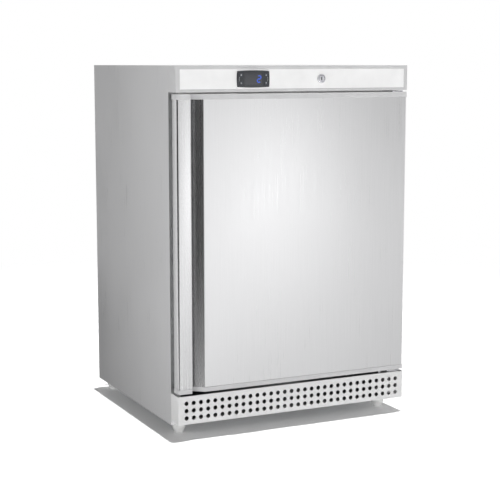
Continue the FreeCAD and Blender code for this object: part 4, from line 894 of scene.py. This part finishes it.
rowTree, inputs = newTree("rod_row", {
    "Path Radius": ("Float", 0.0025), "Rod Radius": ("Float", 0.0015), "First Rod": ("Vector", (0, 0, 0)),
    "Rod Run": ("Vector", (0, 1, 0)), "Step": ("Vector", (0.02, 0, 0)), "Count": ("Int", 2),
})
pathCurve = addNode(rowTree, "GeometryNodeMeshToCurve", links={"Mesh": inputs["Geometry"]}).outputs[0]
pathRing = addNode(
    rowTree, "GeometryNodeCurvePrimitiveCircle", {"Resolution": 12}, {"Radius": inputs["Path Radius"]}
).outputs[0]
rodRing = addNode(
    rowTree, "GeometryNodeCurvePrimitiveCircle", {"Resolution": 8}, {"Radius": inputs["Rod Radius"]}
).outputs[0]
pathTube = addNode(
    rowTree, "GeometryNodeCurveToMesh", {"Fill Caps": True}, {"Curve": pathCurve, "Profile Curve": pathRing}
).outputs[0]
rodLine = addNode(rowTree, "GeometryNodeCurvePrimitiveLine", links={"End": inputs["Rod Run"]}).outputs[0]
rodTube = addNode(
    rowTree, "GeometryNodeCurveToMesh", {"Fill Caps": True}, {"Curve": rodLine, "Profile Curve": rodRing}
).outputs[0]
spots = addNode(rowTree, "GeometryNodeMeshLine", links={
    "Count": inputs["Count"], "Start Location": inputs["First Rod"], "Offset": inputs["Step"],
}).outputs[0]
rods = addNode(
    rowTree, "GeometryNodeInstanceOnPoints", links={"Points": spots, "Instance": rodTube}
).outputs[0]
together = addNode(rowTree, "GeometryNodeJoinGeometry")
rowTree.links.new(pathTube, together.inputs[0])
rowTree.links.new(rods, together.inputs[0])
endTree(rowTree, together.outputs[0], "coatedWire")


rack = {"wire": 2.5 * mm, "rod": 1.5 * mm, "pitch": 21 * mm, "corner": 14 * mm}
for name in ("lower", "middle", "upper"):
    low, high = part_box("shelf_" + name)
    inset, level = rack["wire"], low.z + rack["wire"]
    frameRing = roundedRect(low.x + inset, low.y + inset, high.x - inset, high.y - inset, rack["corner"], 6)
    long = high.y - low.y
    crossings = [
        [(low.x + inset, low.y + long * share, level), (high.x - inset, low.y + long * share, level)]
        for share in (1 / 3, 2 / 3)
    ]
    base = pathsMesh("shelf_path_" + name, [([(p[0], p[1], level) for p in frameRing], True)]
                     + [(line, False) for line in crossings])
    count = 2 * int((high.x - low.x) / 2 / rack["pitch"]) + 1
    rodLevel = level + rack["wire"] - rack["rod"] / 2
    shelf = grown("wire_shelf_" + name, rowTree, "coatedWire", {
        "Path Radius": rack["wire"], "Rod Radius": rack["rod"], "Count": count,
        "First Rod": (-(count - 1) / 2 * rack["pitch"], low.y + inset, rodLevel),
        "Rod Run": (0, long - 2 * inset, 0), "Step": (rack["pitch"], 0, 0),
    }, base)
    standIn(shelf, "cabinet", "shelf_wire", "shelf_" + name)

low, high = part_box("condenser")
coil = {
    "tube": 2.5 * mm, "wire": 1.0 * mm, "passes": 12, "pitch": 44 * mm, "wires": 11, "wirePitch": 39 * mm,
    "half": 215 * mm,
}
coilY = (low.y + high.y) / 2
firstPass = (low.z + high.z) / 2 - coil["pitch"] * (coil["passes"] - 1) / 2
turnsPath = []
for index in range(coil["passes"]):
    ends = (coil["half"], -coil["half"]) if index % 2 else (-coil["half"], coil["half"])
    turnsPath += [(x, coilY, firstPass + index * coil["pitch"]) for x in ends]
base = pathsMesh("condenser_path", [(bentPath(turnsPath, coil["pitch"] * 0.498, 10), False)])
away = coil["tube"] + coil["wire"] * 0.8
rows = []
for side in (-1, 1):
    rows.append(grown(f"condenser_row_{side}", rowTree, "blackEnamel", {
        "Path Radius": coil["tube"], "Rod Radius": coil["wire"], "Count": coil["wires"],
        "First Rod": (-(coil["wires"] - 1) / 2 * coil["wirePitch"], coilY + side * away, low.z + 0.2 * mm),
        "Rod Run": (0, 0, high.z - low.z - 0.4 * mm), "Step": (coil["wirePitch"], 0, 0),
    }, base if side < 0 else None))
condenser = joined("wire_condenser", rows)
standIn(condenser, "cabinet", "condenser_paint", "condenser")
print("shelves and condenser made")


# cold plate, fan and compressor

low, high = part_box("evaporator")
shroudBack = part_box("fan_shroud")[1].y
plate = {
    "sheet": 2 * mm, "corner": 10 * mm, "front": shroudBack, "inset": 25 * mm, "pitch": 40 * mm, "passes": 6,
    "bead": 2.4 * mm, "post": 6 * mm, "postInset": 20 * mm,
}
plateBack = plate["front"] + plate["sheet"]
bm = bmesh.new()
prismInto(bm, roundedRect(low.x, low.z, high.x, high.z, plate["corner"]), plate["front"], plateBack, "Y")
sheetPiece = finishMesh("plate_sheet", bm, "evaporatorSheet")
turnsPath = []
for index in range(plate["passes"]):
    ends = (high.x - plate["inset"], low.x + plate["inset"])
    ends = ends if index % 2 else ends[::-1]
    passZ = low.z + plate["inset"] + index * plate["pitch"]
    turnsPath += [(x, plate["front"] + 0.4 * mm, passZ) for x in ends]
beadPath = bentPath(turnsPath, plate["pitch"] * 0.45, 8)
bead = tubeAlong("plate_bead", [beadPath], plate["bead"], "evaporatorSheet")
postProfile = [(0, plateBack), (plate["post"], plateBack), (plate["post"], high.y), (0, high.y)]
posts = [
    turned("plate_post", postProfile, (x, 0, z), "Y", "evaporatorSheet", 24)
    for x in (low.x + plate["postInset"], high.x - plate["postInset"])
    for z in (low.z + plate["postInset"], high.z - plate["postInset"])
]
evaporator = joined("cold_plate", [sheetPiece, bead, *posts])
standIn(evaporator, "cabinet", "evaporator_aluminium", "evaporator")

low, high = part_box("fan_blades")
fan = {
    "hub": 15 * mm, "tip": (high.x - low.x) / 2, "blades": 5, "thick": 1.4 * mm, "rootChord": 15 * mm,
    "tipChord": 22 * mm, "rootPitch": 40, "tipPitch": 24, "bore": 2.05 * mm, "stations": 8,
}
fanX, fanY, fanZ = (low.x + high.x) / 2, (low.y + high.y) / 2, (low.z + high.z) / 2
bm = bmesh.new()
rows = []
for station in range(fan["stations"]):
    share = station / (fan["stations"] - 1)
    radius = fan["hub"] - 1 * mm + share * (fan["tip"] - fan["hub"] - 0.5 * mm)
    chord = fan["rootChord"] + share * (fan["tipChord"] - fan["rootChord"])
    pitch = math.radians(fan["rootPitch"] + share * (fan["tipPitch"] - fan["rootPitch"]))
    chord = min(chord, (high.y - low.y - fan["thick"]) / math.sin(pitch))
    row = []
    for side in (1, -1):
        for step in range(7):
            along = (step / 6 - 0.5) * side
            camber = 0.08 * chord * (1 - 4 * along * along)
            offset = camber + side * fan["thick"] / 2 * math.sqrt(max(0.04, 1 - 4 * along * along))
            across = along * chord
            angle = across * math.cos(pitch) / radius
            depth = across * math.sin(pitch) + offset * 0.7
            row.append(bm.verts.new((radius * math.cos(angle), depth, radius * math.sin(angle))))
    rows.append(row)
for first, second in zip(rows, rows[1:]):
    for i in range(len(first)):
        j = (i + 1) % len(first)
        bm.faces.new((first[i], first[j], second[j], second[i]))
bm.faces.new(rows[0])
bm.faces.new(rows[-1][::-1])
bmesh.ops.recalc_face_normals(bm, faces=bm.faces)
blade = bpy.data.meshes.new("fan_blade")
bm.to_mesh(blade)
bm.free()
tree, inputs = newTree("blade_ring", {
    "Blades": ("Int", 5), "Centre": ("Vector", (0, 0, 0)), "Turn": ("Float", 1.0),
})
spots = addNode(tree, "GeometryNodeMeshLine", {"Offset": (0, 0, 0)}, {
    "Count": inputs["Blades"], "Start Location": inputs["Centre"],
}).outputs[0]
index = addNode(tree, "GeometryNodeInputIndex").outputs[0]
angle = addNode(tree, "ShaderNodeMath", {"operation": "MULTIPLY"}, {0: index, 1: inputs["Turn"]}).outputs[0]
turn = addNode(tree, "ShaderNodeCombineXYZ", links={"Y": angle}).outputs[0]
ringed = addNode(tree, "GeometryNodeInstanceOnPoints", links={
    "Points": spots, "Instance": inputs["Geometry"], "Rotation": turn,
}).outputs[0]
endTree(tree, ringed, "blackAbs")
bladeRing = grown("fan_ring", tree, "blackAbs", {
    "Blades": fan["blades"], "Centre": (fanX, fanY, fanZ), "Turn": math.tau / fan["blades"],
}, blade)
hubProfile = [
    (fan["bore"], low.y), (fan["hub"] - 1 * mm, low.y), (fan["hub"], low.y + 1 * mm),
    (fan["hub"], high.y - 3 * mm), (fan["hub"] - 3 * mm, high.y), (fan["bore"], high.y),
]
hub = turned("fan_hub", hubProfile, (fanX, 0, fanZ), "Y", "blackAbs", 40, ring=True)
standIn(joined("fan_wheel", [bladeRing, hub]), "fan_rotor", "black_plastic", "fan_blades")

low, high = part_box("compressor_shell")
shell = {
    "radius": 70 * mm, "round": 26 * mm, "seam": 90 * mm, "flange": 2.2 * mm, "lap": 0.8 * mm,
    "foot": 3 * mm, "corner": 16 * mm,
}
shellX, shellY = (low.x + high.x) / 2, (low.y + high.y) / 2
bottom = low.z + shell["foot"]
flat = shell["radius"] - shell["round"]
arc = [math.radians(a) for a in range(0, 91, 10)]
profile = [(0, bottom)] + [
    (flat + shell["round"] * math.sin(a), bottom + shell["round"] * (1 - math.cos(a))) for a in arc
]
seam = bottom + shell["seam"]
wide = shell["radius"] + shell["flange"]
profile += [
    (shell["radius"], seam - 2 * mm), (wide - 0.6 * mm, seam - 1.8 * mm), (wide, seam - 1 * mm),
    (wide, seam + 1 * mm), (wide - 0.6 * mm, seam + 1.8 * mm), (shell["radius"] - shell["lap"], seam + 2 * mm),
]
upper, crown = flat - shell["lap"], high.z - shell["round"]
profile += [(upper + shell["round"] * math.cos(a), crown + shell["round"] * math.sin(a)) for a in arc]
profile.append((0, high.z))
dome = turned("compressor_dome", profile, (shellX, shellY, 0), "Z", "blackEnamel", 72)
bm = bmesh.new()
prismInto(bm, roundedRect(low.x, low.y, high.x, high.y, shell["corner"], 6), low.z, bottom, "Z")
feetPlate = finishMesh("compressor_foot_plate", bm, "blackEnamel")
compressor = joined("compressor_housing", [dome, feetPlate])
standIn(compressor, "cabinet", "compressor_paint", "compressor_shell")
print("cold plate, fan and compressor made")


# cross-recess screws of the hinges

# lowest and highest corners of each separate solid in a CAD piece
def islands(node):
    bm = bmesh.new()
    bm.from_mesh(nodes[node].data)
    bmesh.ops.remove_doubles(bm, verts=bm.verts, dist=1e-5)
    seen, boxes = set(), []
    for vert in bm.verts:
        if vert in seen:
            continue
        group, stack = [], [vert]
        seen.add(vert)
        while stack:
            spot = stack.pop()
            group.append(spot.co.copy())
            for edge in spot.link_edges:
                other = edge.other_vert(spot)
                if other not in seen:
                    seen.add(other)
                    stack.append(other)
        boxes.append([Vector([pick(p[i] for p in group) for i in range(3)]) for pick in (min, max)])
    bm.free()
    return boxes


screws = {
    "head": 5.5 * mm, "headTall": 3.0 * mm, "shank": 2.0 * mm, "slot": 1.1 * mm, "slotLong": 5.6 * mm,
    "slotDeep": 2.6 * mm,
}
spots = islands("hinge_screws")
headFront = min(box[0].y for box in spots)
shankEnd = max(box[1].y for box in spots)
screwLong, headRadius, shankRadius = shankEnd - headFront, screws["head"], screws["shank"]
profile = [
    (0, 0), (headRadius * 0.55, 0.15 * mm), (headRadius * 0.85, 0.8 * mm), (headRadius, 2.0 * mm),
    (headRadius, screws["headTall"]), (shankRadius, screws["headTall"]),
    (shankRadius, screwLong), (0, screwLong),
]
blank = turned("screw_blank", profile, (0, 0, 0), "Y", "chrome", 28)
tree, inputs = newTree("cross_screws", {
    "Slot": ("Vector", (0.001, 0.002, 0.006)), "Slot Across": ("Vector", (0.006, 0.002, 0.001)),
})
bars = []
for label in ("Slot", "Slot Across"):
    bars.append(addNode(tree, "GeometryNodeMeshCube", links={"Size": inputs[label]}).outputs[0])
head = addNode(tree, "GeometryNodeObjectInfo", {"Object": blank}).outputs["Geometry"]
for bar in bars:
    head = addNode(
        tree, "GeometryNodeMeshBoolean", {"operation": "DIFFERENCE", "solver": "EXACT"},
        {"Mesh 1": head, "Mesh 2": bar},
    ).outputs[0]
placed = addNode(
    tree, "GeometryNodeInstanceOnPoints", links={"Points": inputs["Geometry"], "Instance": head}
).outputs[0]
endTree(tree, placed, "chrome")
points = [((box[0].x + box[1].x) / 2, headFront, (box[0].z + box[1].z) / 2) for box in spots]
screwRow = grown("hinge_screw_set", tree, "chrome", {
    "Slot": (screws["slot"], screws["slotDeep"], screws["slotLong"]),
    "Slot Across": (screws["slotLong"], screws["slotDeep"], screws["slot"]),
}, pointMesh("screw_spots", points))
bpy.data.objects.remove(blank)
standIn(screwRow, "cabinet", "polished_steel", "hinge_screws")
print("screws set:", len(points))


# camera

view = {"spot": (-1.387, -2.9421, 0.8574), "turn": 25.61, "dip": 8.28, "lens": 92.95}
cameraData = bpy.data.cameras.new("camera")
cameraData.lens = view["lens"]
cameraData.sensor_width = 36
cameraData.clip_end = 100
camera = bpy.data.objects.new("camera", cameraData)
bpy.context.collection.objects.link(camera)
camera.location = view["spot"]
camera.rotation_euler = (math.radians(90 - view["dip"]), 0, math.radians(-view["turn"]))
bpy.context.scene.camera = camera


# floor, reflector cards, lamps and world

studio = {
    "floorHalf": 14.0, "floorGrey": "fbfbfb", "lift": 0.1, "nearFloor": 1.1, "farFloor": 2.4,
    "overhead": 3.1, "overheadTilt": (-0.3, 1.35), "overheadAngle": 0.4,
    "front": 1.45, "frontTurn": -16, "frontAngle": 18, "rear": 0.9, "ambient": 0.2,
}


# 1 for rays from the camera straight or by mirrors and glass, 0 for the rest
def whenSeen(tree):
    path = addNode(tree, "ShaderNodeLightPath").outputs
    either = addNode(
        tree, "ShaderNodeMath", {"operation": "MAXIMUM"}, {0: path["Is Camera Ray"], 1: path["Is Glossy Ray"]}
    ).outputs[0]
    seen = addNode(
        tree, "ShaderNodeMath", {"operation": "MAXIMUM"}, {0: either, 1: path["Is Transmission Ray"]}
    ).outputs[0]
    direct = addNode(
        tree, "ShaderNodeMath", {"operation": "LESS_THAN", 1: 0.5}, {0: path["Diffuse Depth"]}
    ).outputs[0]
    return addNode(tree, "ShaderNodeMath", {"operation": "MULTIPLY"}, {0: seen, 1: direct}).outputs[0]


floorMaterial = bpy.data.materials.new("white_sweep")
floorMaterial.use_nodes = True
tree = floorMaterial.node_tree
tree.nodes.clear()
place = addNode(tree, "ShaderNodeTexCoord").outputs["Object"]
paper = addNode(tree, "ShaderNodeBsdfDiffuse", {"Color": hexColour(studio["floorGrey"])}).outputs[0]
glow = addNode(tree, "ShaderNodeEmission", {"Strength": studio["lift"]}).outputs[0]
near = addNode(tree, "ShaderNodeAddShader", links={0: paper, 1: glow}).outputs[0]
white = addNode(tree, "ShaderNodeEmission", {"Strength": 1.0}).outputs[0]
away = addNode(tree, "ShaderNodeVectorMath", {"operation": "LENGTH"}, {0: place}).outputs["Value"]
fade = addNode(
    tree, "ShaderNodeMapRange",
    {"interpolation_type": "SMOOTHSTEP", "From Min": studio["nearFloor"], "From Max": studio["farFloor"]},
    {"Value": away},
).outputs[0]
amount = addNode(tree, "ShaderNodeMath", {"operation": "MULTIPLY"}, {0: fade, 1: whenSeen(tree)}).outputs[0]
surface = addNode(tree, "ShaderNodeMixShader", links={0: amount, 1: near, 2: white}).outputs[0]
addNode(tree, "ShaderNodeOutputMaterial", links={"Surface": surface})

half = studio["floorHalf"]
floorMesh = bpy.data.meshes.new("floor")
floorCorners = [(-half, -half, 0), (half, -half, 0), (half, half, 0), (-half, half, 0)]
floorMesh.from_pydata(floorCorners, [], [(0, 1, 2, 3)])
floorMesh.materials.append(floorMaterial)
floor = bpy.data.objects.new("floor", floorMesh)
bpy.context.collection.objects.link(floor)

# cards that only mirrors see. An upright one runs from a start to an end in plan, up to its top; a
# floor one has start low, end low, end high and start high in plan. Brightness is in that order too
uprightCards = {
    "side_card": ((-1.04, 0.66), (-1.04, 3.06), 0.004, 2.4, (1.45, -0.5, -0.5, 1.45)),
    "dark_card": ((-2.4, 0.1), (-1.2, -2.3), 0.004, 2.5, (0.05, 0.05, 0.05, 0.05)),
    "glow_card": ((0.95, -3.48), (2.0, -3.48), 0.006, 0.75, (3.0, 2.5, 1.0, 1.5)),
    "front_card": ((0.3, -3.5), (3.4, -3.5), 0.004, 2.2, (1.1, 0.55, 0.25, 0.5)),
    "bay_card": ((-0.3, 0.31), (0.3, 0.31), 0.001, 0.28, (0.02, 0.02, 0.02, 0.02)),
}
floorCards = {
    "side_floor": ((-0.31, -1.2), (-0.31, 1.2), (-1.03, 3.06), (-1.03, 0.66), (1.2, -0.25, -0.3, 1.35)),
    "dark_floor": ((-0.33, -0.33), (-0.25, -0.37), (-1.2, -2.3), (-2.4, 0.1), (0.5, 0.5, 0.1, 0.1)),
    "front_floor": ((-0.1, -3.5), (2.6, -3.5), (1.2, -0.31), (-0.2, -0.38), (2.0, 1.0, 0.6, 0.85)),
}
floorCardLevel = 0.003
cards = {}
for name, (start, end, foot, top, levels) in uprightCards.items():
    cards[name] = ([(*start, foot), (*end, foot), (*end, top), (*start, top)], levels)
for name, (*plan, levels) in floorCards.items():
    cards[name] = ([(*spot, floorCardLevel) for spot in plan], levels)
for name, (corners, levels) in cards.items():
    material = bpy.data.materials.new(name)
    material.use_nodes = True
    tree = material.node_tree
    tree.nodes.clear()
    across = addNode(tree, "ShaderNodeUVMap").outputs[0]
    axes = addNode(tree, "ShaderNodeSeparateXYZ", links={"Vector": across}).outputs
    low, high = [
        addNode(tree, "ShaderNodeMapRange", {"To Min": first, "To Max": last}, {"Value": axes["X"]}).outputs[0]
        for first, last in (levels[:2], levels[:1:-1])
    ]
    level = addNode(
        tree, "ShaderNodeMapRange", links={"Value": axes["Y"], "To Min": low, "To Max": high}
    ).outputs[0]
    level = addNode(tree, "ShaderNodeMath", {"operation": "MAXIMUM", 1: 0.02}, {0: level}).outputs[0]
    light = addNode(tree, "ShaderNodeEmission", links={"Strength": level}).outputs[0]
    addNode(tree, "ShaderNodeOutputMaterial", links={"Surface": light})
    mesh = bpy.data.meshes.new(name)
    mesh.from_pydata(corners, [], [(0, 1, 2, 3)])
    layer = mesh.uv_layers.new(name="UVMap")
    for loop, uv in zip(layer.data, ((0, 0), (1, 0), (1, 1), (0, 1))):
        loop.uv = uv
    mesh.materials.append(material)
    piece = bpy.data.objects.new(name, mesh)
    bpy.context.collection.objects.link(piece)
    piece.visible_camera = False
    piece.visible_diffuse = False
    piece.visible_shadow = False
    piece.visible_transmission = False

# an overhead sun, a level soft one from the front left and a weak one from behind
lamps = {
    "overhead": (studio["overhead"], studio["overheadAngle"], (*studio["overheadTilt"], 0)),
    "front": (studio["front"], studio["frontAngle"], (90, 0, studio["frontTurn"])),
    "rear": (studio["rear"], 30, (84, 0, 150)),
}
for name, (power, spreadAngle, turn) in lamps.items():
    lampData = bpy.data.lights.new(name, "SUN")
    lampData.energy = power
    lampData.angle = math.radians(spreadAngle)
    lamp = bpy.data.objects.new(name, lampData)
    bpy.context.collection.objects.link(lamp)
    lamp.rotation_euler = [math.radians(a) for a in turn]
    lamp.visible_glossy = False

world = bpy.data.worlds.new("studio")
bpy.context.scene.world = world
world.use_nodes = True
tree = world.node_tree
tree.nodes.clear()
strength = addNode(
    tree, "ShaderNodeMapRange", {"To Min": studio["ambient"], "To Max": 1.0}, {"Value": whenSeen(tree)}
).outputs[0]
sky = addNode(tree, "ShaderNodeBackground", {"Color": (1, 1, 1, 1)}, {"Strength": strength}).outputs[0]
addNode(tree, "ShaderNodeOutputWorld", links={"Surface": sky})
bpy.context.scene.view_settings.view_transform = "Standard"
print("camera, floor and lamps set")
